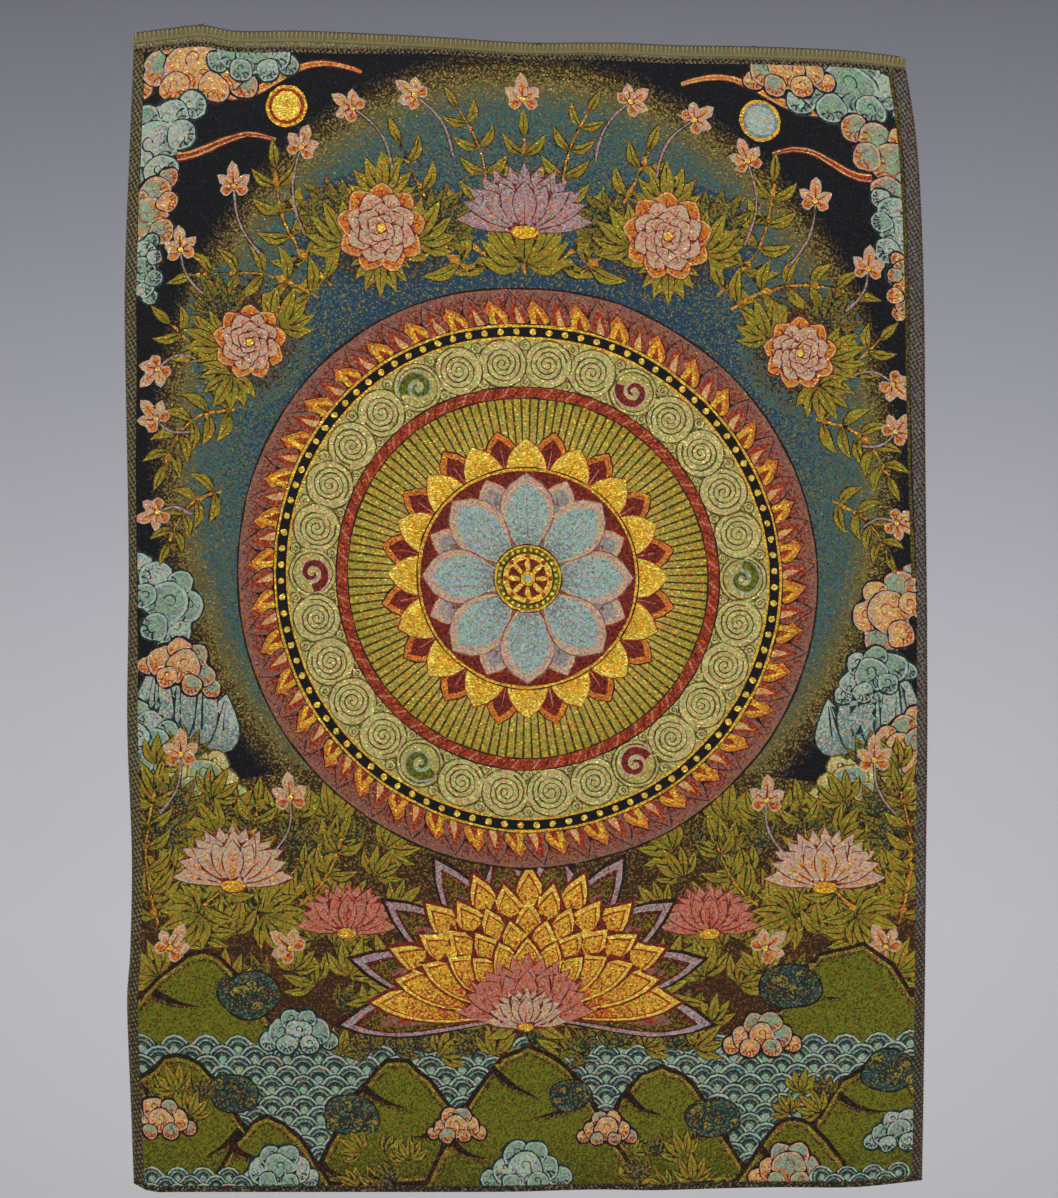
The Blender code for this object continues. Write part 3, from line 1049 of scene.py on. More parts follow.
def side_flowers(cartoon):
    """One side's growth under the mandala."""
    each(cartoon, undergrowth, (110, 168, 296, 296, 26, 5), (250, 300, 296, 330, 24, 6))
    each(
        cartoon, sprig,
        (bow(290 + 206j, 290 + 312j, -10), 29, 6), (bow(262 + 214j, 212 + 300j, 12), 29, 5),
        (bow(190 + 214j, 146 + 274j, 8), 28, 4),
    )
    each(cartoon, fan, (206 + 214j, 200, 34), (258 + 214j, -20, 34))
    each(cartoon, stemmed_blossom, (200 + 262j, 186 + 304j, 6, 24), (288 + 292j, 270 + 336j, 6, 24))
    each(cartoon, lotus, (232 + 236j, 48, ORANGE), (142 + 200j, 40, BRICK, ROSE))
    each(cartoon, blossom, (186 + 188j, 24, 40), (280 + 188j, 24, 120))


def shore(cartoon):
    """The sea and its mountains along the foot, the far ones first."""
    each(cartoon, hill, (150, 352, 60, 190, 0.1, 1), (-352, -156, 56, 182, -0.1, 2))
    each(cartoon, grove, (206 + 158j, 22, 4), (-216 + 152j, 22, 3))
    water(cartoon, -300, 300, 4, 122, 12.5)
    undergrowth(cartoon, -150, 112, 150, 134, 22, 8)
    each(cartoon, cloud, (-178 + 122j, 13, COOL), (184 + 118j, 13, WARM))
    each(cartoon, hill, (-172, -30, 8, 100, 0.1, 5), (36, 176, 6, 94, 0.0, 6))
    each(cartoon, grove, (-138 + 60j, 19, 7), (146 + 56j, 19, 8))
    each(
        cartoon, hill,
        (-88, 92, -4, 112, 0.05, 7, 4), (-352, -196, -6, 104, 0.15, 8),
        (196, 352, -6, 96, -0.1, 9),
    )
    each(cartoon, grove, (-230 + 76j, 18, 9), (284 + 90j, 20, 10), (34 + 74j, 15, 14))
    each(cartoon, undergrowth, (-296, 58, -250, 74, 18, 15), (208, 62, 236, 76, 17, 16))
    each(cartoon, hill, (-258, -150, -8, 56, 0.1, 11, 2), (156, 264, -8, 52, 0.1, 12, 2))
    each(cartoon, undergrowth, (-140, 6, -92, 28, 18, 17), (76, 6, 132, 28, 18, 18))
    each(
        cartoon, cloud,
        (-288 + 54j, 12, WARM), (-196 + 16j, 13, COOL), (206 + 14j, 14, WARM),
        (292 + 40j, 12, COOL), (-2 + 16j, 15, COOL), (-56 + 50j, 10, WARM),
        (62 + 46j, 10, WARM),
    )
    each(cartoon, water, (-296, -226, 2, 20, 10), (232, 296, 2, 18, 10))


def great_lotus(cartoon):
    """The large gold lotus that stands between the mandala and the sea."""
    heart = 134j
    for side in (1, -1):
        sprig(cartoon, bow(heart, heart + complex(side * 118, 14), side * 10), 31, 6)
        fan(cartoon, heart + complex(side * 96, 22), 90 - side * 50, 34)
    back = ((1.0, PITCH), (0.92, LILAC), (0.78, WINE), (0.70, THICKET), (0.48, MAUVE), (0.28, BRICK))
    front = ((1.0, MAROON), (0.91, BRIGHT_GOLD), (0.80, BRICK), (0.75, (BRICK, GOLD)))
    banded_lotus(cartoon, heart, 150, LOTUS_BACK, back)
    banded_lotus(cartoon, heart, 126, LOTUS_FRONT, front, 3)
    lotus(cartoon, heart - 2j, 54, BRICK, ROSE)
    lotus(cartoon, heart - 6j, 32, ROSE, BLUSH)


def sun_and_moon(cartoon):
    for at, dye, edge in ((-188 + 838j, BRIGHT_GOLD, BRICK), (188 + 838j, FROST, STEEL)):
        cartoon.framed(disc(at, 14, 28), GOLD, 2.4, edge)
        cartoon.add(disc(at, 11.5, 26), dye)


def margin(cartoon, side, beyond, dye, lowest=0.0, highest=PANEL_TALL):
    """A strip along one side edge, `beyond` mm wider than the woven-in margin there."""
    known, left, right = np.array(MARGIN_WIDTHS).T
    ups = [lowest, *(up for up in known if lowest < up < highest), highest]
    reaches = np.interp(ups, known, right if side > 0 else left)
    inner = [complex(side * (HALF_WIDE - reach - beyond), up) for up, reach in zip(ups, reaches)]
    cartoon.add(inner + [complex(side * HALF_WIDE, up) for up in (highest, lowest)], dye)


def under_heading(cartoon, beyond, dye):
    """A strip along the panel's top, `beyond` mm deeper than the heading's allowance there."""
    lower = [complex(row.across, PANEL_TALL - row.below - beyond) for row in ALLOWANCES]
    cartoon.add(lower + [complex(side * HALF_WIDE, PANEL_TALL) for side in (1, -1)], dye)


def margins(cartoon):
    """The woven-in margins, the first picks under the heading, and the turned foot."""
    margin(cartoon, 1, MARGIN_STRIP_WIDE, MARGIN_STRIP, MARGIN_STRIP_FROM)
    for side, dye, foot_dye, edge_dye in (
        (-1, MARGIN_LEFT, FOOT_LEFT, EDGE_LEFT),
        (1, MARGIN_RIGHT, FOOT_RIGHT, EDGE_RIGHT),
    ):
        margin(cartoon, side, LINE, PITCH)
        margin(cartoon, side, 0.0, dye)
        margin(cartoon, side, 0.0, foot_dye, 0.0, FOOT_TWILL_TALL)
        inner = side * (HALF_WIDE - SIDE_WRAP_WIDE)
        cartoon.add(box(side * HALF_WIDE, 0.0, inner, PANEL_TALL), edge_dye)
    cartoon.add(box(-HALF_WIDE, 0.0, HALF_WIDE, FOOT_BAND_TALL), FOOT_BAND)
    under_heading(cartoon, SEAM_ROW_TALL, SEAM_ROW)
    under_heading(cartoon, HEAD_ROW_LAP, HEAD_ROW)


def draw_picture():
    """The whole cartoon, from the ground up to what lies over it."""
    cartoon = Cartoon()
    ground(cartoon)
    cartoon.on_both_sides(upper_clouds)
    sun_and_moon(cartoon)
    cartoon.on_both_sides(side_clouds)
    sprig(cartoon, bow(716j, 822j, 0), 30, 5)
    cartoon.on_both_sides(sky_flowers)
    cartoon.on_both_sides(side_flowers)
    shore(cartoon)
    great_lotus(cartoon)
    mandala(cartoon, MANDALA_AT, MANDALA_RADIUS)
    fan(cartoon, 724j, 90, 46, count=9, spread=170)
    lotus(cartoon, 748j, 54, ROSE, LILAC)
    blossom(cartoon, 852j, 24, 90)
    margins(cartoon)
    return cartoon


# ---- weaving the picture into a mesh

FRONT_STEP = 10.0
BACK_ACROSS = 15.0
BACK_UP = 10.0
NEARLY = 0.01
# On the reverse each spot shows the mean of the dyes round it, at these steps across and up.
RUN_ACROSS, RUN_UP = (-7, 0, 7), (-3, 3)
# The cut rim takes its dyes from just inside the face.
RIM_SEEN_AT = 0.998


def even_steps(length, step):
    """Evenly spaced places from 0 to a length, about a step apart."""
    count = max(1, round(length / step))
    return [length * number / count for number in range(count + 1)]


def inner_points(step_across, step_up, rows=()):
    """Points inside the panel's rectangle, so that the cloth can bend between its motifs."""
    across = even_steps(PANEL_WIDE, step_across)[1:-1]
    ups = even_steps(PANEL_TALL, step_up)[1:-1] + list(rows)
    return [(left - HALF_WIDE, up) for up in ups for left in across]


def rim_points(step):
    """The rectangle's corners and the points along its edges, anticlockwise from the foot's left."""
    across = [place - HALF_WIDE for place in even_steps(PANEL_WIDE, step)]
    up = even_steps(PANEL_TALL, step)
    rim = [(place, 0.0) for place in across[:-1]]
    rim += [(HALF_WIDE, place) for place in up[:-1]]
    rim += [(place, PANEL_TALL) for place in across[:0:-1]]
    rim += [(-HALF_WIDE, place) for place in up[:0:-1]]
    return rim


def loop_edges(first, count):
    """A closed loop's edges, whose points are numbered from `first`."""
    return [(first + k, first + (k + 1) % count) for k in range(count)]


def spots_of(flat):
    """Rows of two numbers as complex ones."""
    return flat[:, 0] + 1j * flat[:, 1]


def tessellate(points, edges):
    """Triangles that follow every edge, inside the panel's rectangle."""
    points = [Vector(point) for point in points]
    made, _, faces, sources, _, _ = delaunay_2d_cdt(points, edges, [], 0, NEARLY)
    flat = np.array([(p.x, p.y) for p in made])
    crossing = np.array([not source for source in sources])
    faces = np.array([(f[0], *pair) for f in faces for pair in zip(f[1:-1], f[2:])])
    corners = flat[faces]
    first, second = corners[:, 1] - corners[:, 0], corners[:, 2] - corners[:, 0]
    turned = first[:, 0] * second[:, 1] < first[:, 1] * second[:, 0]
    faces[turned] = faces[turned][:, ::-1]
    across, up = corners.mean(axis=1).T
    within = (abs(across) < HALF_WIDE) & (up > 0) & (up < PANEL_TALL)
    used, numbered = np.unique(faces[within], return_inverse=True)
    return flat[used], numbered.reshape(-1, 3), crossing[used]


def showing_edges(faces, looks, crossing):
    """The edges between triangles of unlike looks, joined up where others only crossed them."""
    pairs = np.sort(faces[:, [0, 1, 1, 2, 2, 0]].reshape(-1, 2), axis=1)
    owner = np.repeat(np.arange(len(faces)), 3)
    order = np.lexsort(pairs.T)
    pairs, owner = pairs[order], owner[order]
    same = np.flatnonzero((pairs[1:] == pairs[:-1]).all(axis=1))
    shown = same[looks[owner[same]] != looks[owner[same + 1]]]
    beside = {}
    for start, end in pairs[shown].tolist():
        beside.setdefault(start, set()).add(end)
        beside.setdefault(end, set()).add(start)
    for number in [number for number in beside if crossing[number] and len(beside[number]) == 2]:
        before, after = beside[number]
        if after not in beside[before]:
            del beside[number]
            beside[before] ^= {number, after}
            beside[after] ^= {number, before}
    return [(start, end) for start, ends in beside.items() for end in ends if start < end]


def stepped(points, edges, longest):
    """The same edges with the long ones split, so that they bend with the cloth."""
    points, split = list(points), []
    for start, end in edges:
        first, last = points[start], points[end]
        count = max(1, math.ceil(math.dist(first, last) / longest))
        chain = [start]
        for share in (number / count for number in range(1, count)):
            chain.append(len(points))
            points.append(tuple(a + (b - a) * share for a, b in zip(first, last)))
        split += zip(chain, chain[1:] + [end])
    return points, split


def rim_of(flat):
    """The numbers of the vertices on the rectangle's edges, anticlockwise from the foot's left."""
    across, up = flat.T
    reach = np.full(len(flat), -1.0)
    for off_edge, along_rim in (
        (across + HALF_WIDE, 2 * PANEL_WIDE + 2 * PANEL_TALL - up),
        (up - PANEL_TALL, PANEL_WIDE + PANEL_TALL + HALF_WIDE - across),
        (across - HALF_WIDE, PANEL_WIDE + up),
        (up, across + HALF_WIDE),
    ):
        on_edge = abs(off_edge) < 2 * NEARLY
        reach[on_edge] = along_rim[on_edge]
    on_rim = np.flatnonzero(reach >= 0)
    return on_rim[np.argsort(reach[on_rim])]


def front_of(cartoon):
    """The woven face: its flat points, its triangles and the dye rows at their corners."""
    rim = rim_points(FRONT_STEP)
    points, edges = list(rim), loop_edges(0, len(rim))
    for shape in cartoon.shapes[1:]:
        ring = shape.outline
        within = (abs(ring.real) <= HALF_WIDE) & (ring.imag >= 0) & (ring.imag <= PANEL_TALL)
        if within.any():
            edges += loop_edges(len(points), len(ring))
            points += zip(ring.real, ring.imag)
    flat, faces, crossing = tessellate(points, edges)
    middles = spots_of(flat)[faces].mean(axis=1)
    looks = cartoon.looks()[cartoon.topmost(middles)]
    kept = showing_edges(faces, looks, crossing)
    used, numbered = np.unique(np.array(kept), return_inverse=True)
    points, edges = stepped(flat[used].tolist(), numbered.reshape(-1, 2).tolist(), FRONT_STEP)
    edges += loop_edges(len(points), len(rim))
    points += rim + inner_points(FRONT_STEP, FRONT_STEP)
    flat, faces, _ = tessellate(points, edges)
    spots = spots_of(flat)
    shown = cartoon.topmost(spots[faces].mean(axis=1))
    rows = cartoon.rows_at(np.repeat(shown, 3), spots[faces].reshape(-1))
    return flat, faces, rows


def back_of(cartoon, rim):
    """The reverse: the same rim, a coarse grid, and the picture's dyes run together."""
    hem_rows = (HEM_TALL, HEM_TALL + HEM_STEP)
    points = [tuple(point) for point in rim] + inner_points(BACK_ACROSS, BACK_UP, hem_rows)
    flat, faces, _ = tessellate(points, loop_edges(0, len(rim)))
    spots = spots_of(flat)
    total = np.zeros((len(flat), COLUMNS))
    shifts = [complex(across, up) for across in RUN_ACROSS for up in RUN_UP]
    for shift in shifts:
        shifted = spots + shift
        total += cartoon.rows_at(cartoon.topmost(shifted), shifted)
    faces = faces[:, ::-1]
    return flat, faces, (total / len(shifts))[faces].reshape(-1, COLUMNS)


def back_thickness(up):
    """The cloth's thickness at heights above its foot: doubled at the hem, in mm."""
    share = np.clip((up - HEM_TALL) / HEM_STEP, 0.0, 1.0)
    return HEM_THICK + (PANEL_THICK - HEM_THICK) * share


def weave_mesh(name, cartoon):
    """One closed cloth: the face in full detail, a plainer reverse and the cut rim between them."""
    flat, faces, rows = front_of(cartoon)
    rim = rim_of(flat)
    back_flat, back_faces, back_rows = back_of(cartoon, flat[rim])
    back_rim = rim_of(back_flat)
    if len(rim) != len(back_rim):
        raise RuntimeError(f"the rims differ: {len(rim)} and {len(back_rim)}")
    front, back = hung(*flat.T), hung(*back_flat.T)
    back[:, 1] += back_thickness(back_flat[:, 1]) * MM
    first = len(front)
    ahead, back_ahead = np.roll(rim, -1), np.roll(back_rim, -1)
    sides = [(ahead, rim, first + back_rim), (ahead, first + back_rim, first + back_ahead)]
    sides = np.concatenate([np.stack(corners, axis=1) for corners in sides])
    triangles = np.concatenate([faces, back_faces + first, sides])
    spots = np.concatenate([flat, back_flat])
    side_spots = spots_of(flat[rim])
    side_rows = cartoon.rows_at(cartoon.topmost(side_spots * RIM_SEEN_AT + 0.5j), side_spots)
    side_rows = np.repeat(np.tile(side_rows, (2, 1)), 3, axis=0)
    values = np.concatenate([rows, back_rows, side_rows])
    mesh = bpy.data.meshes.new(name)
    mesh.vertices.add(len(spots))
    mesh.vertices.foreach_set("co", np.concatenate([front, back]).ravel())
    mesh.loops.add(triangles.size)
    mesh.loops.foreach_set("vertex_index", triangles.ravel())
    mesh.polygons.add(len(triangles))
    mesh.polygons.foreach_set("loop_start", np.arange(len(triangles)) * 3)
    kinds = np.repeat([0, 1, 1], [len(faces), len(back_faces), len(sides)])
    mesh.polygons.foreach_set("material_index", kinds)
    cloth = mesh.uv_layers.new(name="cloth")
    cloth.data.foreach_set("uv", (spots[triangles.ravel()] * MM).ravel())
    for label, columns in (
        ("yarn", np.r_[YARN, SHARE]),
        ("other_yarn", np.r_[OTHER, GLINT]),
        ("stray_yarn", np.r_[STRAY, STRAYS]),
        ("shares", (GLINT, STRAYS, TWILL, SHARE)),
    ):
        layer = mesh.attributes.new(label, "FLOAT_COLOR", "CORNER")
        layer.data.foreach_set("color", values[:, columns].ravel())
    mesh.update(calc_edges=True)
    mesh.validate()
    mesh.shade_smooth()
    mesh.set_sharp_from_angle(angle=math.radians(50))
    return mesh


# ---- materials


def operator(operation, reflected=False):
    """A method that adds a Math node to a wire."""

    def method(wire, *others):
        values = (*others, wire) if reflected else (wire, *others)
        return wire.bench.node("ShaderNodeMath", {"operation": operation}, dict(enumerate(values)))

    return method


class Wire:
    """A node's output that takes part in sums."""

    def __init__(self, bench, socket):
        self.bench, self.socket = bench, socket

    __add__ = __radd__ = operator("ADD")
    __sub__ = operator("SUBTRACT")
    __rsub__ = operator("SUBTRACT", reflected=True)
    __mul__ = __rmul__ = operator("MULTIPLY")
    __truediv__ = operator("DIVIDE")
    __lt__ = operator("LESS_THAN")
    floor = operator("FLOOR")
    fraction = operator("FRACT")
    sine = operator("SINE")

    def clamped(self):
        return self.bench.node("ShaderNodeClamp", {}, {"Value": self})


class Bench:
    """A node tree in the making."""

    def __init__(self, tree):
        self.tree = tree

    def node(self, kind, settings, inputs, output=0):
        made = self.tree.nodes.new(kind)
        for key, value in settings.items():
            setattr(made, key, value)
        self.feed(made, inputs)
        return Wire(self, made.outputs[output]) if made.outputs else None

    def feed(self, node, values):
        """Values or links for a node's inputs, by their names or numbers."""
        for key, value in values.items():
            if isinstance(value, Wire):
                self.tree.links.new(value.socket, node.inputs[key])
            else:
                node.inputs[key].default_value = value


class Finish(Bench):
    """A material's nodes."""

    def __init__(self, name):
        self.material = bpy.data.materials.new(name)
        self.material.use_nodes = True
        super().__init__(self.material.node_tree)

    def finished(self, values):
        """The material, once its shader is fed."""
        self.feed(self.tree.nodes["Principled BSDF"], values)
        return self.material

    def mix(self, share, first, second):
        return self.node("ShaderNodeMix", {"data_type": "RGBA"}, {0: share, 6: first, 7: second}, 2)

    def vector(self, operation, *values):
        return self.node("ShaderNodeVectorMath", {"operation": operation}, dict(enumerate(values)))

    def scaled(self, colour, by):
        return self.node("ShaderNodeVectorMath", {"operation": "SCALE"}, {0: colour, "Scale": by})

    def joined(self, x, y, z=0.0):
        return self.node("ShaderNodeCombineXYZ", {}, {0: x, 1: y, 2: z})

    def split(self, vector):
        outputs = self.node("ShaderNodeSeparateXYZ", {}, {0: vector}).socket.node.outputs
        return [Wire(self, output) for output in outputs]

    def chance(self, x, y, z=0.0):
        """Even chances from 0 to 1 for each cell: three numbers as a colour."""
        place = self.joined(x, y, z)
        return self.node("ShaderNodeTexWhiteNoise", {"noise_dimensions": "3D"}, {"Vector": place}, 1)

    def noise(self, vector, scale, detail=2.0, roughness=0.5):
        inputs = {"Vector": vector, "Scale": scale, "Detail": detail, "Roughness": roughness}
        return self.node("ShaderNodeTexNoise", {}, inputs)

    def attribute(self, name, output=0):
        settings = {"attribute_type": "GEOMETRY", "attribute_name": name}
        return self.node("ShaderNodeAttribute", settings, {}, output)

    def cloth_mm(self):
        """Millimetres across and up on the flat cloth."""
        across, up, _ = self.split(self.node("ShaderNodeUVMap", {"uv_map": "cloth"}, {}))
        return across * (1 / MM), up * (1 / MM)

    def object_place(self):
        """The place in metres in the object's own space."""
        return self.node("ShaderNodeTexCoord", {}, {}, 3)

    def bump(self, height, distance, strength, inputs=()):
        given = {"Height": height, "Distance": distance, "Strength": strength, **dict(inputs)}
        return self.node("ShaderNodeBump", {}, given)


ALPHA = 3
# Two picks make a row of floats. Each row and each pick starts so many floats further along.
PICKS_A_ROW = 2
ROW_SLIP, PICK_SLIP = 0.381, 0.45
# A reverse float's length in mm, and the chance of a metallic one there.
REVERSE_FLOAT = 5.5
REVERSE_GLINT = 0.12
# The tape's threads are so many mm apart.
TAPE_THREAD = 0.55
# The scales of a thread's plies and of its worn stretches.
PLIES, WORN_STRETCHES = 900.0, 60.0
# Seeds that keep the chances of one cell apart.
CELL_DYE, CELL_THREAD, CELL_REVERSE = 11.0, 7.0, 5.0


def clumped(chance, clump):
    """Chances that gather in clumps, about a half."""
    return (chance - 0.5) * 0.8 + (clump - 0.5) * 1.6 + 0.5


def ribs(across, up, wide, tall):
    """Slanting ribs, so many mm wide and tall, from -1 to 1."""
    return (across * (2 * math.pi / wide) + up * (2 * math.pi / tall)).sine()


def brocade_face(look):
    """The jacquard's face: weft floats of three yarns, scattered by chance or set in a twill."""
    bench = Finish("brocade_face")
    across, up = bench.cloth_mm()
    picks, floats = up / (look.pick / MM), across / (look.float_length / MM)
    row = (picks / PICKS_A_ROW).floor()
    slid = floats + row * ROW_SLIP
    chances = bench.split(bench.chance(slid.floor(), row))
    clump = bench.noise(bench.joined(across, up * 0.8), 0.5, 2.0, 0.6)
    scatter = clumped(chances[0], clump).clamped()
    twilled = ribs(across, up, 3.5, 6.9) * 0.30 + ribs(across, up, 5.0, -3.55) * 0.26
    even = twilled + 0.5 + (chances[0] - 0.5) * 0.3
    glint, strays, twill = bench.split(bench.attribute("shares"))
    chosen = scatter * (1 - twill) + even * twill < bench.attribute("yarn", ALPHA)
    colour = bench.mix(chosen, bench.attribute("yarn"), bench.attribute("other_yarn"))
    other_clump = bench.noise(bench.joined(across * 0.9 + 40, up * 0.8), 0.6, 2.0, 0.6)
    astray = clumped(chances[1], other_clump) < strays * 0.9 + 0.04
    colour = bench.mix(astray, colour, bench.attribute("stray_yarn"))
    dyed = bench.chance(slid.floor(), row, CELL_DYE)
    batch = bench.vector("MULTIPLY_ADD", dyed, (0.6, 0.6, 0.6), (0.7, 0.7, 0.7))
    colour = bench.vector("MULTIPLY", colour, batch)
    pick = picks.floor()
    thread = bench.chance((floats + pick * PICK_SLIP).floor(), pick, CELL_THREAD)
    threads = bench.split(thread)
    profile = ((slid.fraction() * math.pi).sine() * 0.5 + 0.5) * (picks.fraction() * math.pi).sine()
    # Painted shade: the profile darkens the gaps between floats and picks; the chances are the yarns' own
    # uneven tone.
    tone = (0.72 + 0.34 * chances[2] + 0.14 * threads[0]) * (0.84 + 0.30 * profile)
    shines = (threads[1] * 0.8 + (1 - clump) * 0.2) < glint * look.glint
    jitter = bench.scaled(bench.vector("SUBTRACT", thread, (0.5, 0.5, 0.5)), 0.10 + shines * 0.75)
    facing = bench.vector("ADD", bench.node("ShaderNodeNewGeometry", {}, {}, 1), jitter)
    normal = {"Normal": bench.vector("NORMALIZE", facing)}
    return bench.finished(
        {
            "Base Color": bench.scaled(colour, tone * (1 + shines * 0.5)),
            "Metallic": shines * 0.75,
            "Roughness": 0.72 - shines * 0.38,
            "Normal": bench.bump(profile, 0.12 * MM, 0.6, normal),
            "Specular IOR Level": 0.22,
            "Sheen Weight": 0.02,
        }
    )


def brocade_reverse(look):
    """The reverse: long floats lie across it, so the picture's colours run together."""
    bench = Finish("brocade_reverse")
    across, up = bench.cloth_mm()
    picks = up / (look.pick / MM)
    row = picks.floor()
    slid = across / REVERSE_FLOAT + bench.split(bench.chance(3.0, row))[0] * 17
    chances = bench.split(bench.chance(slid.floor(), row, CELL_REVERSE))
    yarn, other = bench.attribute("yarn"), bench.attribute("other_yarn")
    colour = bench.mix(chances[0] * 0.7 + 0.15, other, yarn)
    colour = bench.mix((chances[2] < 0.3) * 0.7, colour, bench.attribute("stray_yarn"))
    warm = bench.mix(chances[1] * 0.35, colour, (*look.reverse, 1.0))
    profile = (picks.fraction() * math.pi).sine()
    streak = bench.noise(bench.joined(across * 0.05, up * 1.6), 1.0, 3.0)
    # Painted shade: the profile darkens the gaps between picks; the chances and streaks are the reverse's
    # own uneven tone.
    tone = (0.62 + 0.45 * chances[2]) * (0.7 + 0.4 * profile) * (0.7 + 0.6 * streak)
    return bench.finished(
        {
            "Base Color": bench.scaled(warm, tone),
            "Roughness": 0.75,
            "Metallic": (chances[1] < REVERSE_GLINT) * 0.6,
            "Normal": bench.bump(profile + streak * 0.5, 0.2 * MM, 0.7),
            "Sheen Weight": 0.15,
        }
    )


def tape_weave(look):
    """The heading's plain weave in golden olive, darker under the overlock: painted shade from its
    stitches, which also press it there.
    """
    bench = Finish("heading_weave")
    across, up = bench.cloth_mm()
    warp, weft = across / TAPE_THREAD, up / TAPE_THREAD
    basket = (warp * math.pi).sine() * (weft * math.pi).sine()
    cell = bench.split(bench.chance(warp.floor(), weft.floor()))
    slub = bench.noise(bench.joined(across * 0.4, up * 3.0), 0.9, 3.0)
    worn = bench.noise(bench.joined(across, up), 0.05)
    share = (slub * 0.9 + cell[0] * 0.5 - 0.2).clamped()
    # Painted shade under the overlock's stitches, along the band's top edge.
    overlock_shade = ((up + OVERLOCK_TALL) / 0.8 + 0.5).clamped()
    # Painted shade also from the basket, darker on the weave's low threads; the worn noise is the tape's
    # own uneven tone.
    tone = (0.86 + basket * 0.16) * (0.85 + 0.3 * worn) * (1 - overlock_shade * 0.26)
    colour = bench.mix(share, (*look.tape_deep, 1.0), (*look.tape_light, 1.0))
    return bench.finished(
        {
            "Base Color": bench.scaled(colour, tone),
            "Roughness": 0.8,
            "Normal": bench.bump(basket + slub, 0.12 * MM, 0.7),
            "Sheen Weight": 0.15,
        }
    )


def thread_finish(name, light, deep):
    """A twisted sewing thread: two tones along its plies, in the object's own space."""
    bench = Finish(name)
    place = bench.object_place()
    ply, worn = bench.noise(place, PLIES), bench.noise(place, WORN_STRETCHES)
    share = (ply * 1.3 + worn * 0.6 - 0.45).clamped()
    colour = bench.mix(share, (*deep, 1.0), (*light, 1.0))
    normal = bench.bump(ply, 0.08 * MM, 0.6)
    return bench.finished({"Base Color": colour, "Roughness": 0.6, "Normal": normal})


# ---- making pieces


def new_piece(name, mesh, *materials):
    piece = bpy.data.objects.new(name, mesh)
    bpy.context.scene.collection.objects.link(piece)
    for material in materials:
        mesh.materials.append(material)
    return piece


def settled(piece, slot, *nodes):
    """What every piece of the hanging shares: it rides on the one body and hides the solid's parts that
    it stands for; its slot is not used.
    """
    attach(piece, "root")
    if nodes:
        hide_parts(*nodes)


def swept_mesh(name, rings):
    """A closed tube through rings of points, all with as many points, with flat ends."""
    rings = np.array(rings)
    count, around = rings.shape[:2]
    faces = []
    for low in range(0, (count - 1) * around, around):
        for k in range(around):
            left, right = low + k, low + (k + 1) % around
            faces.append((left, right, right + around, left + around))
    faces.append(tuple(range(around))[::-1])
    faces.append(tuple(range((count - 1) * around, count * around)))
    mesh = bpy.data.meshes.new(name)
    mesh.from_pydata(rings.reshape(-1, 3).tolist(), [], faces)
    form = bmesh.new()
    form.from_mesh(mesh)
    if form.calc_volume(signed=True) < 0:
        bmesh.ops.reverse_faces(form, faces=form.faces)
    form.to_mesh(mesh)
    form.free()
    mesh.shade_smooth()
    mesh.set_sharp_from_angle(angle=math.radians(60))
    return mesh


def thread_mesh(name, path, wide, deep, sides=8):
    """A thread along a path of points in mm, `wide` and `deep` mm through, thinner at its ends."""
    path = [Vector(point) for point in path]
    last = len(path) - 1
    rings = []
    for step, point in enumerate(path):
        ahead = (path[min(step + 1, last)] - path[max(step - 1, 0)]).normalized()
        side = ahead.cross(Vector((0.31, 0.17, 0.93)).cross(ahead)).normalized()
        if abs(ahead.x) < 0.7:
            side = (Vector((1, 0, 0)) - ahead * ahead.x).normalized()
        out = ahead.cross(side)
        thin = 0.55 if step in (0, last) else 1.0
        ring = []
        for angle in (2 * math.pi * k / sides for k in range(sides)):
            across = side * math.cos(angle) * wide / 2 * thin
            through = out * math.sin(angle) * deep / 2 * thin
            ring.append((point + across + through) * MM)
        rings.append(ring)
    return swept_mesh(name, rings)


STITCHES = "stitches"
# The tree's inputs and what kinds of socket they are.
STITCH_INPUTS = {
    "Geometry": "Geometry", "Stitch": "Object", "Thread": "Material",
    "Lean": "Float", "Unevenness": "Float", "Seed": "Int",
}
# So far is the seed of the sizes from that of the leans.
NEXT_SEED = 7.0


def stitching():
    """A node tree that sets one stitch at every point of a guide, each turned by its `slope`."""
    if STITCHES in bpy.data.node_groups:
        return bpy.data.node_groups[STITCHES]
    tree = bpy.data.node_groups.new(STITCHES, "GeometryNodeTree")
    tree.interface.new_socket("Geometry", in_out="OUTPUT", socket_type="NodeSocketGeometry")
    for name, kind in STITCH_INPUTS.items():
        tree.interface.new_socket(name, in_out="INPUT", socket_type="NodeSocket" + kind)

    bench = Bench(tree)
    given = {made.name: Wire(bench, made) for made in tree.nodes.new("NodeGroupInput").outputs}
    lean, uneven, seed = given["Lean"], given["Unevenness"], given["Seed"]

    def chance(low, high, seed):
        return bench.node("FunctionNodeRandomValue", {}, {2: low, 3: high, "Seed": seed}, 1)

    shape = bench.node("GeometryNodeObjectInfo", {}, {"Object": given["Stitch"]}, "Geometry")
    slope = bench.node("GeometryNodeInputNamedAttribute", {}, {"Name": "slope"}, "Attribute")
    turned = {"Y": slope + chance(lean * -1.0, lean, seed)}
    placing = {
        "Points": given["Geometry"],
        "Instance": shape,
        "Rotation": bench.node("ShaderNodeCombineXYZ", {}, turned),
        "Scale": chance(1.0 - uneven, 1.0 + uneven, seed + NEXT_SEED),
    }
    placed = bench.node("GeometryNodeInstanceOnPoints", {}, placing)
    real = bench.node("GeometryNodeRealizeInstances", {}, {"Geometry": placed})
    threaded = {"Geometry": real, "Material": given["Thread"]}
    threaded = bench.node("GeometryNodeSetMaterial", {}, threaded)
    bench.node("NodeGroupOutput", {}, {0: threaded})
    return tree


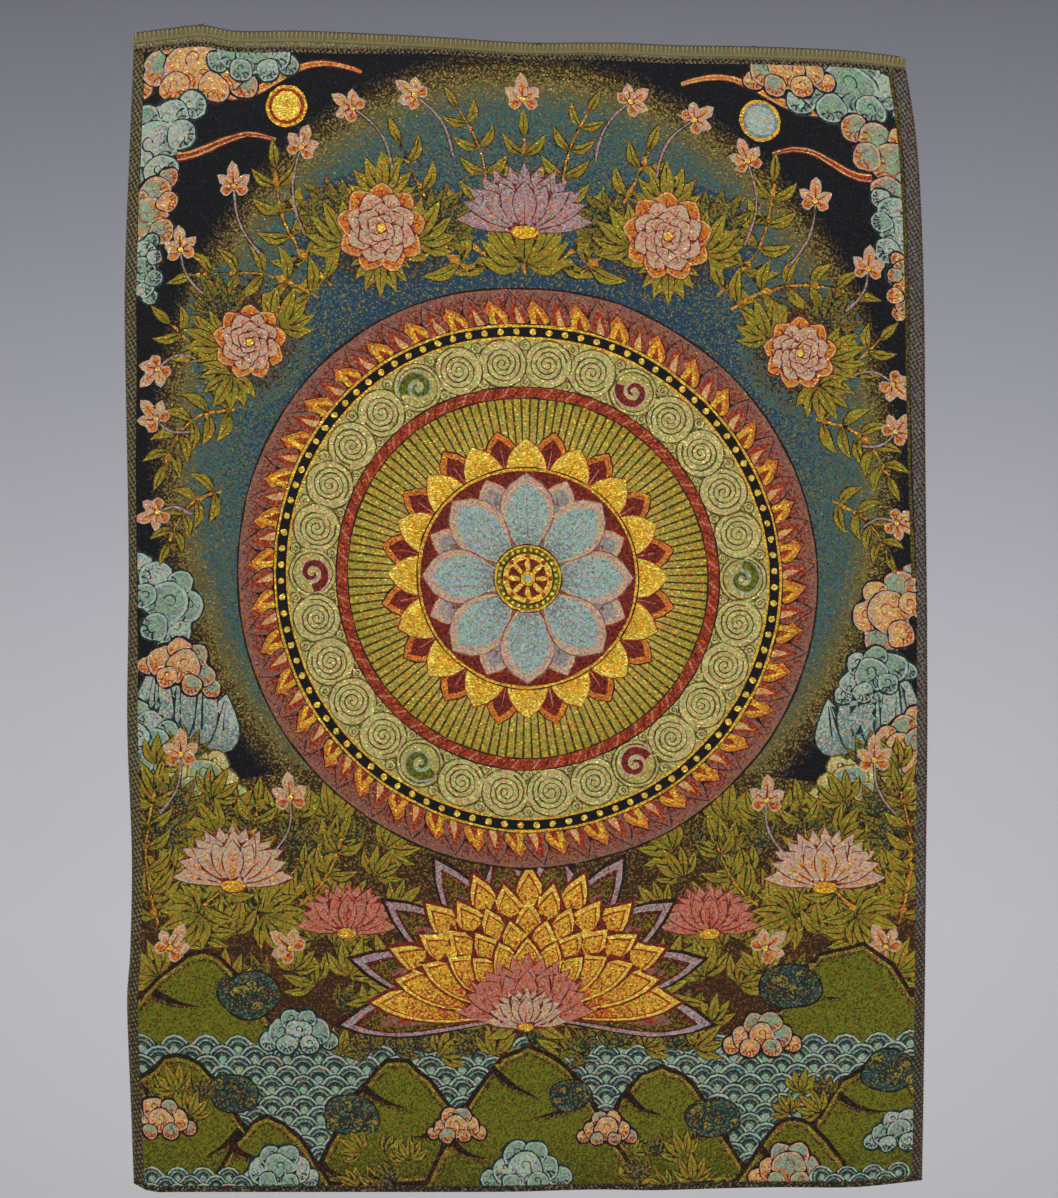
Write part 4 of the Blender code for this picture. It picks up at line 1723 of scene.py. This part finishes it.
# A kind of stitch: its path in mm as (across, depth, up), its width and depth as shares of the
# thread's thickness, how far it leans at random in radians, how unlike its sizes are, and a seed.
Stitch = namedtuple("Stitch", "path wide deep lean unevenness seed")


def sew(name, slot, sites, slopes, stitch, thickness, thread):
    """A row of stitches as one plain mesh: one at each site in metres, leaning by its slope."""
    guide = bpy.data.meshes.new(name)
    guide.from_pydata([tuple(site) for site in sites], [], [])
    guide.attributes.new("slope", "FLOAT", "POINT").data.foreach_set("value", list(slopes))
    piece = new_piece(name, guide)
    wide, deep = thickness * stitch.wide / MM, thickness * stitch.deep / MM
    shape = new_piece(name + "_stitch", thread_mesh(name + "_stitch", stitch.path, wide, deep))
    modifier = piece.modifiers.new("stitches", "NODES")
    modifier.node_group = stitching()
    values = {
        "Stitch": shape,
        "Lean": stitch.lean,
        "Unevenness": stitch.unevenness,
        "Seed": stitch.seed,
        "Thread": thread,
    }
    for item in modifier.node_group.interface.items_tree:
        if item.in_out == "INPUT" and item.name in values:
            modifier[item.identifier] = values[item.name]
    bpy.context.view_layer.update()
    evaluated = piece.evaluated_get(bpy.context.evaluated_depsgraph_get())
    mesh = bpy.data.meshes.new_from_object(evaluated)
    piece.modifiers.clear()
    piece.data = mesh
    bpy.data.meshes.remove(guide)
    bpy.data.objects.remove(shape)
    if not mesh.polygons:
        raise RuntimeError(f"{name} has no stitches")
    settled(piece, slot)


def sites_at(across, depth, up):
    """Sites in metres from places across, one depth and heights, all in mm."""
    return np.stack([across, np.full_like(across, depth), up], axis=-1) * MM


def mirrored(stitch, across=1, depth=1):
    """A stitch whose path is turned to another side where across or depth is -1."""
    return stitch._replace(path=[(across * x, depth * y, z) for x, y, z in stitch.path])


# ---- the heading band and its stitches

TAPE_ROUNDING = 0.55
# The stitches are closer at the band's right end than at its left one.
OVERLOCK_LEFT, OVERLOCK_RIGHT = 3.5, 3.33
OVERLOCK_TALL = 6.4
OVERLOCK_INSET = 1.5
# How far the band's top edge lies under the solid's.
TOP_DROP = 0.8
# From the front over the top edge to the back.
OVERLOCK = Stitch(
    (
        (0.0, -0.72, -5.6), (0.0, -1.0, -4.8), (0.0, -1.08, -2.6), (0.0, -1.02, -0.7),
        (0.05, -0.62, 0.15), (0.1, 0.0, 0.42), (0.15, 0.62, 0.15),
        (0.2, 1.02, -0.7), (0.2, 1.08, -2.6), (0.2, 1.0, -4.8), (0.2, 0.72, -5.6),
    ), 1.3, 0.9, 0.12, 0.08, 3,
)
# The looper thread's run from one stitch to the next: share of the way, depth and height in mm.
LOOPER_RUN = ((0.0, -0.75, 0.85), (0.5, -1.25, 0.15))
LOOSE_THREAD = 0.7
LooseEnd = namedtuple("LooseEnd", "across path")
LOOSE_ENDS = rows_of(
    LooseEnd,
    (-256.0, (
        (-2.6, -0.9, 0.6), (-1.2, -1.3, 1.0), (0.4, -1.5, 1.5),
        (1.8, -1.2, 1.2), (2.6, -0.9, 1.9), (3.2, -0.7, 2.6),
    )),
    (5.9, (
        (-3.4, -0.9, 0.2), (-1.8, -1.4, 0.4), (0.2, -1.7, 0.1),
        (2.0, -1.5, -0.2), (3.3, -1.2, 0.3), (4.0, -1.0, -0.4),
    )),
    (175.0, (
        (-2.0, -0.9, 0.4), (-0.8, -1.3, 0.8), (0.6, -1.4, 0.9),
        (1.6, -1.2, 0.4), (2.4, -1.0, 0.7), (2.9, -0.9, 1.2),
    )),
)


def tape_section():
    """The band's rounded section as (depth, below its top edge) in mm."""
    half = HEADING_THICK / 2
    top, foot = -TOP_DROP - TAPE_ROUNDING, -HEADING_TALL + TAPE_ROUNDING
    section = []
    for corner, (depth, below) in enumerate(((half, top), (half, foot), (-half, foot), (-half, top))):
        inwards = depth - math.copysign(TAPE_ROUNDING, depth)
        for step in range(4):
            way = turn(90 - 90 * corner - 30 * step)
            section.append((inwards + way.real * TAPE_ROUNDING, below + way.imag * TAPE_ROUNDING))
    return section


def tape_mesh():
    """The band, which wavers a little in depth, with its own UVs in metres."""
    section = tape_section()
    rings, places = [], []
    for across, up in across_edge(TOP_EDGE, np.linspace(0.0, 1.0, 181)):
        waver = 0.10 * math.sin(across * 0.11) + 0.06 * math.sin(across * 0.37 + 1.0)
        rings.append([(across * MM, (depth + waver) * MM, (up + below) * MM) for depth, below in section])
        places += [(across, depth * 0.4 + below) for depth, below in section]
    mesh = swept_mesh("heading", rings)
    corners = np.empty(len(mesh.loops), int)
    mesh.loops.foreach_get("vertex_index", corners)
    cloth = mesh.uv_layers.new(name="cloth")
    cloth.data.foreach_set("uv", (np.array(places)[corners] * MM).ravel())
    return mesh


def overlock_sites():
    """Places along the top edge whose spacing narrows a little from left to right."""
    left, right = TOP_EDGE[0].across_mm + OVERLOCK_INSET, TOP_EDGE[-1].across_mm - OVERLOCK_INSET
    sites = [left]
    while sites[-1] < right:
        share = (sites[-1] - left) / (right - left)
        sites.append(sites[-1] + OVERLOCK_LEFT + (OVERLOCK_RIGHT - OVERLOCK_LEFT) * share)
    return np.array(sites[:-1])


def top_height(across):
    """The height of the band's top edge, in mm."""
    return along_table(TOP_EDGE, across) - TOP_DROP


def top_slope(across):
    """The top edge's slope, as the turn about +Y that lays a stitch square to it."""
    rise = along_table(TOP_EDGE, across + 1.0) - along_table(TOP_EDGE, across - 1.0)
    return -np.arctan2(rise, 2.0)


def looper_path(across):
    """The looper thread's path in mm, along the front of the top edge."""
    path = []
    for left, right in zip(across[:-1], across[1:]):
        for share, depth, above in LOOPER_RUN:
            place = left + (right - left) * share
            path.append((place, depth, float(top_height(place)) + above))
    return path


class BROCADE_OT_panel(bpy.types.Operator):
    """Weave the picture panel"""

    bl_idname = "brocade.panel"
    bl_label = "Weave panel"

    def execute(self, context):
        look = context.scene.brocade_cloth
        mesh = weave_mesh("woven_panel", draw_picture())
        panel = new_piece("woven_panel", mesh, brocade_face(look), brocade_reverse(look))
        settled(panel, "brocade", "picture_panel")
        return {"FINISHED"}


class BROCADE_OT_heading(bpy.types.Operator):
    """Make the heading band with its overlock and loose ends"""

    bl_idname = "brocade.heading"
    bl_label = "Make heading"

    def execute(self, context):
        look = context.scene.brocade_cloth
        settled(new_piece("heading", tape_mesh(), tape_weave(look)), "heading_tape", "heading_band")
        yellow = thread_finish("overlock_thread", look.overlock_light, look.overlock_deep)
        dark = thread_finish("dark_thread", look.looper_light, look.looper_deep)
        across = overlock_sites()
        sites = sites_at(across, 0.0, top_height(across))
        sew("overlock", "heading_tape", sites, top_slope(across), OVERLOCK, look.thread, yellow)
        thick = look.thread / MM
        looper = thread_mesh("looper", looper_path(across), thick, thick, 6)
        settled(new_piece("looper", looper, dark), "heading_tape")
        for number, end in enumerate(LOOSE_ENDS):
            name, top = f"loose_end_{number}", float(top_height(end.across))
            path = [(end.across + right, depth, top + above) for right, depth, above in end.path]
            mesh = thread_mesh(name, path, LOOSE_THREAD, LOOSE_THREAD, 6)
            settled(new_piece(name, mesh, dark), "heading_tape")
        return {"FINISHED"}


# ---- the panel's seams and edges

# Each row's stitches are a pitch apart and begin and end an inset in from the cloth's edge.
SEAM_PITCH, SEAM_INSET, SEAM_BELOW, SEAM_DEPTH = 2.7, 1.6, 0.55, 0.78
SEAM_DASH = Stitch(
    ((-0.7, 0.0, -1.5), (-0.4, 0.22, -0.9), (0.0, 0.34, 0.0), (0.4, 0.42, 0.9), (0.7, 0.2, 1.5)),
    0.8, 0.7, 0.14, 0.12, 5,
)
# Round the right edge, from the front to the back.
EDGE_PITCH, EDGE_INSET = 2.6, 1.5
EDGE_WRAP = Stitch(
    (
        (-2.2, -0.55, 0.9), (-1.6, -0.82, 0.6), (-0.4, -0.80, 0.1),
        (0.22, -0.35, -0.1), (0.30, 0.1, -0.1), (0.22, 0.45, 0.0),
        (-0.4, 0.82, -0.2), (-1.6, 0.84, -0.7), (-2.2, 0.5, -1.0),
    ), 0.9, 0.8, 0.12, 0.1, 9,
)
HEM_PITCH, HEM_INSET, HEM_BELOW, HEM_PROUD = 3.3, 3.0, 1.2, 0.1
HEM_DASH = Stitch(
    ((-1.3, 0.25, 0.0), (-0.9, -0.02, 0.02), (0.0, -0.10, 0.0), (0.9, -0.02, -0.02), (1.3, 0.25, 0.0)),
    0.6, 0.8, 0.08, 0.1, 12,
)


class BROCADE_OT_seams(bpy.types.Operator):
    """Sew the seam under the heading, the side edges and the foot hem"""

    bl_idname = "brocade.seams"
    bl_label = "Sew seams"

    def execute(self, context):
        look = context.scene.brocade_cloth
        brown = thread_finish("seam_thread", look.seam_light, look.seam_deep)
        pale = thread_finish("left_edge_thread", look.left_light, look.left_deep)
        plum = thread_finish("right_edge_thread", look.right_light, look.right_deep)
        across = np.arange(SEAM_INSET - HALF_WIDE, HALF_WIDE - SEAM_INSET, SEAM_PITCH)
        top = hung_flat(across, np.full_like(across, PANEL_TALL))
        slopes = top_slope(top[:, 0])
        for name, side in (("seam_front", -1), ("seam_back", 1)):
            heights = top[:, 1] - SEAM_BELOW - allowance_below(across)
            sites = sites_at(top[:, 0], side * SEAM_DEPTH, heights)
            dash = mirrored(SEAM_DASH, depth=side)
            sew(name, "heading_tape", sites, slopes, dash, look.thread, brown)
        up = np.arange(EDGE_INSET, PANEL_TALL - EDGE_INSET, EDGE_PITCH)
        for name, side, thread in (("left_edge", -1, pale), ("right_edge", 1, plum)):
            sites = hung(np.full_like(up, side * HALF_WIDE), up)
            sites[:, 1] += PANEL_THICK / 2 * MM
            wrap = mirrored(EDGE_WRAP, across=side)
            sew(name, "brocade", sites, np.zeros_like(up), wrap, look.thread, thread)
        across = np.arange(HEM_INSET - HALF_WIDE, HALF_WIDE - HEM_INSET, HEM_PITCH)
        sites = hung(across, np.full_like(across, HEM_TALL - HEM_BELOW), HEM_PROUD)
        level = np.zeros_like(across)
        sew("hem_stitches", "brocade", sites, level, HEM_DASH, look.thread, brown)
        return {"FINISHED"}


class BROCADE_OT_cloth(bpy.types.Operator):
    """A step that leaves the scene as it is"""

    bl_idname = "brocade.cloth"
    bl_label = "Declare cloth"

    def execute(self, context):
        return {"FINISHED"}


# ---- the studio

PHOTO_WIDE, PHOTO_TALL = 1058, 1198
MM_PER_PIXEL = 0.78
MIDDLE_LINE_PIXEL = 528.5
TOP_EDGE_PIXEL = 43.0
SENSOR_WIDE_MM = 36.0

Tone = namedtuple("Tone", "height grey")
BACKDROP_TONES = rows_of(
    Tone,
    (-2.2, (0.75, 0.75, 0.77)), (-1.2, (0.76, 0.76, 0.79)), (-0.45, (0.65, 0.655, 0.70)),
    (0.3, (0.46, 0.465, 0.515)), (1.0, (0.275, 0.28, 0.325)),
)
# The backdrop's floor and wall in metres: where they lie, the bend between them and their reach.
FLOOR, BACK, NEAR, BEND, WALL_TOP, REACH = -1.9, 4.6, -4.5, 1.2, 4.0, 6.0
BEND_STEPS = 24

CLOTH_MIDDLE = (0.0, 0.0, -0.44)
Lamp = namedtuple("Lamp", "name at aim size tint")
LAMPS = rows_of(
    Lamp,
    ("key", (-1.0, -2.3, 2.5), CLOTH_MIDDLE, (1.6, 1.2), (1.0, 0.985, 0.96)),
    ("fill", (1.8, -2.4, -0.2), CLOTH_MIDDLE, (1.8, 1.8), (0.97, 0.98, 1.0)),
    ("sweep", (0.0, 1.4, -1.6), (0.0, BACK, -0.8), (2.6, 0.4), (1.0, 1.0, 1.0)),
)


def backdrop():
    """A pale floor that curves up into a wall, whose grey darkens with height."""
    section = [(NEAR, FLOOR), (BACK - BEND, FLOOR)]
    for step in range(1, BEND_STEPS + 1):
        angle = math.radians(90 * step / BEND_STEPS)
        section.append((BACK - BEND + BEND * math.sin(angle), FLOOR + BEND - BEND * math.cos(angle)))
    section.append((BACK, WALL_TOP))
    vertices = [(side * REACH, depth, up) for side in (-1, 1) for depth, up in section]
    count = len(section)
    faces = [(k, k + 1, count + k + 1, count + k) for k in range(count - 1)]
    mesh = bpy.data.meshes.new("backdrop")
    mesh.from_pydata(vertices, [], faces)
    mesh.shade_smooth()
    bench = Finish("backdrop_paper")
    low, high = BACKDROP_TONES[0].height, BACKDROP_TONES[-1].height
    height = bench.split(bench.object_place())[2]
    grey = bench.node("ShaderNodeValToRGB", {}, {0: (height - low) / (high - low)})
    stops = grey.socket.node.color_ramp.elements
    for number, tone in enumerate(BACKDROP_TONES):
        position = (tone.height - low) / (high - low)
        stop = stops[number] if number < 2 else stops.new(position)
        stop.position = position
        stop.color = (*tone.grey, 1.0)
    paper = bench.finished({"Base Color": grey, "Roughness": 0.9, "Specular IOR Level": 0.1})
    new_piece("backdrop", mesh, paper)


def lamps(stage):
    """The lights on the cloth and the one on the backdrop. The camera sees none of them."""
    for lamp in LAMPS:
        light = bpy.data.lights.new(lamp.name, "AREA")
        light.shape = "RECTANGLE"
        light.size, light.size_y = lamp.size
        light.energy = getattr(stage, lamp.name)
        light.color = lamp.tint
        made = bpy.data.objects.new(lamp.name, light)
        made.location = lamp.at
        towards = Vector(lamp.aim) - Vector(lamp.at)
        made.rotation_euler = towards.to_track_quat("-Z", "Y").to_euler()
        made.visible_camera = False
        bpy.context.scene.collection.objects.link(made)
    world = bpy.data.worlds.new("studio")
    world.use_nodes = True
    light = world.node_tree.nodes["Background"].inputs
    light[0].default_value = (1.0, 1.0, 1.0, 1.0)
    light[1].default_value = stage.ambient
    bpy.context.scene.world = world
    bpy.context.scene.view_settings.view_transform = "Standard"


def camera(stage):
    """Square on to the cloth, framed as the photograph frames it."""
    data = bpy.data.cameras.new("camera")
    data.lens = stage.lens
    data.sensor_width = SENSOR_WIDE_MM
    pixel = MM_PER_PIXEL * MM
    away = PHOTO_TALL * pixel * stage.lens / SENSOR_WIDE_MM
    eye = bpy.data.objects.new("camera", data)
    across, up = PHOTO_WIDE / 2 - MIDDLE_LINE_PIXEL, TOP_EDGE_PIXEL - PHOTO_TALL / 2
    eye.location = (across * pixel, -away, up * pixel)
    eye.rotation_euler = (math.radians(90), 0, 0)
    bpy.context.scene.collection.objects.link(eye)
    bpy.context.scene.camera = eye


class BROCADE_OT_studio(bpy.types.Operator):
    """Set the backdrop, the lights and the camera"""

    bl_idname = "brocade.studio"
    bl_label = "Set studio"

    def execute(self, context):
        stage = context.scene.brocade_stage
        backdrop()
        lamps(stage)
        camera(stage)
        return {"FINISHED"}


# ---- settings and running


def length(name, description, default):
    """A setting in metres."""
    return FloatProperty(
        name=name, description=description, default=default, unit="LENGTH", precision=5
    )


def power(name, description, default):
    """A lamp's setting in watts."""
    return FloatProperty(name=name, description=description, default=default, unit="POWER")


def tint(name, description, colour):
    """A colour setting whose default is given from 0 to 255."""
    default = linear(colour).tolist()
    return FloatVectorProperty(
        name=name, description=description, default=default, min=0.0, max=1.0, subtype="COLOR"
    )


class BROCADE_PG_cloth(bpy.types.PropertyGroup):
    pick: length("Pick", "Height of one weft thread", 0.62 * MM)
    float_length: length("Float", "Length of one weft float", 1.4 * MM)
    thread: length("Thread", "Thickness of the sewing thread", 0.8 * MM)
    glint: FloatProperty(
        name="Glint", description="How many metallic threads show", default=1.0, min=0.0, subtype="FACTOR"
    )
    reverse: FloatVectorProperty(
        name="Reverse",
        description="Colour that warms the reverse",
        default=(0.16, 0.10, 0.035),
        subtype="COLOR",
    )
    tape_light: tint("Tape light", "Lighter threads of the tape", (168, 154, 98))
    tape_deep: tint("Tape deep", "Darker threads of the tape", (110, 99, 54))
    overlock_light: tint("Overlock light", "Lighter plies of the overlock", (180, 168, 114))
    overlock_deep: tint("Overlock deep", "Darker plies of the overlock", (118, 106, 62))
    looper_light: tint("Looper light", "Lighter plies of the looper", (88, 74, 62))
    looper_deep: tint("Looper deep", "Darker plies of the looper", (34, 27, 22))
    seam_light: tint("Seam light", "Lighter plies of the seams", (110, 90, 74))
    seam_deep: tint("Seam deep", "Darker plies of the seams", (48, 36, 28))
    left_light: tint("Left light", "Lighter plies round the left edge", (134, 122, 98))
    left_deep: tint("Left deep", "Darker plies round the left edge", (58, 46, 32))
    right_light: tint("Right light", "Lighter plies round the right edge", (124, 108, 102))
    right_deep: tint("Right deep", "Darker plies round the right edge", (56, 42, 42))


class BROCADE_PG_stage(bpy.types.PropertyGroup):
    key: power("Key", "Key light", 66.0)
    fill: power("Fill", "Fill light", 14.0)
    sweep: power("Sweep", "Light on the backdrop", 25.0)
    ambient: FloatProperty(name="Ambient", description="Light from all round", default=0.35, min=0.0)
    lens: FloatProperty(name="Lens", description="Focal length in mm", default=85.0, min=20.0)


class BROCADE_PT_panel(bpy.types.Panel):
    """The steps that make the hanging"""

    bl_label = "Brocade hanging"
    bl_space_type = "VIEW_3D"
    bl_region_type = "UI"
    bl_category = "Brocade"

    def draw(self, context):
        for group in (context.scene.brocade_cloth, context.scene.brocade_stage):
            for name in group.bl_rna.properties.keys():
                if name not in ("rna_type", "name"):
                    self.layout.prop(group, name)
        for step in STEPS:
            self.layout.operator(step.bl_idname)


STEPS = (BROCADE_OT_panel, BROCADE_OT_heading, BROCADE_OT_seams, BROCADE_OT_cloth, BROCADE_OT_studio)
GROUPS = (BROCADE_PG_cloth, BROCADE_PG_stage)


def register():
    for made in (*GROUPS, *STEPS, BROCADE_PT_panel):
        bpy.utils.register_class(made)
    bpy.types.Scene.brocade_cloth = PointerProperty(type=BROCADE_PG_cloth)
    bpy.types.Scene.brocade_stage = PointerProperty(type=BROCADE_PG_stage)


def unregister():
    del bpy.types.Scene.brocade_cloth
    del bpy.types.Scene.brocade_stage
    for made in (BROCADE_PT_panel, *STEPS[::-1], *GROUPS[::-1]):
        bpy.utils.unregister_class(made)


def main():
    register()
    for step in STEPS:
        group, name = step.bl_idname.split(".")
        getattr(getattr(bpy.ops, group), name)()


if __name__ == "__main__":
    main()
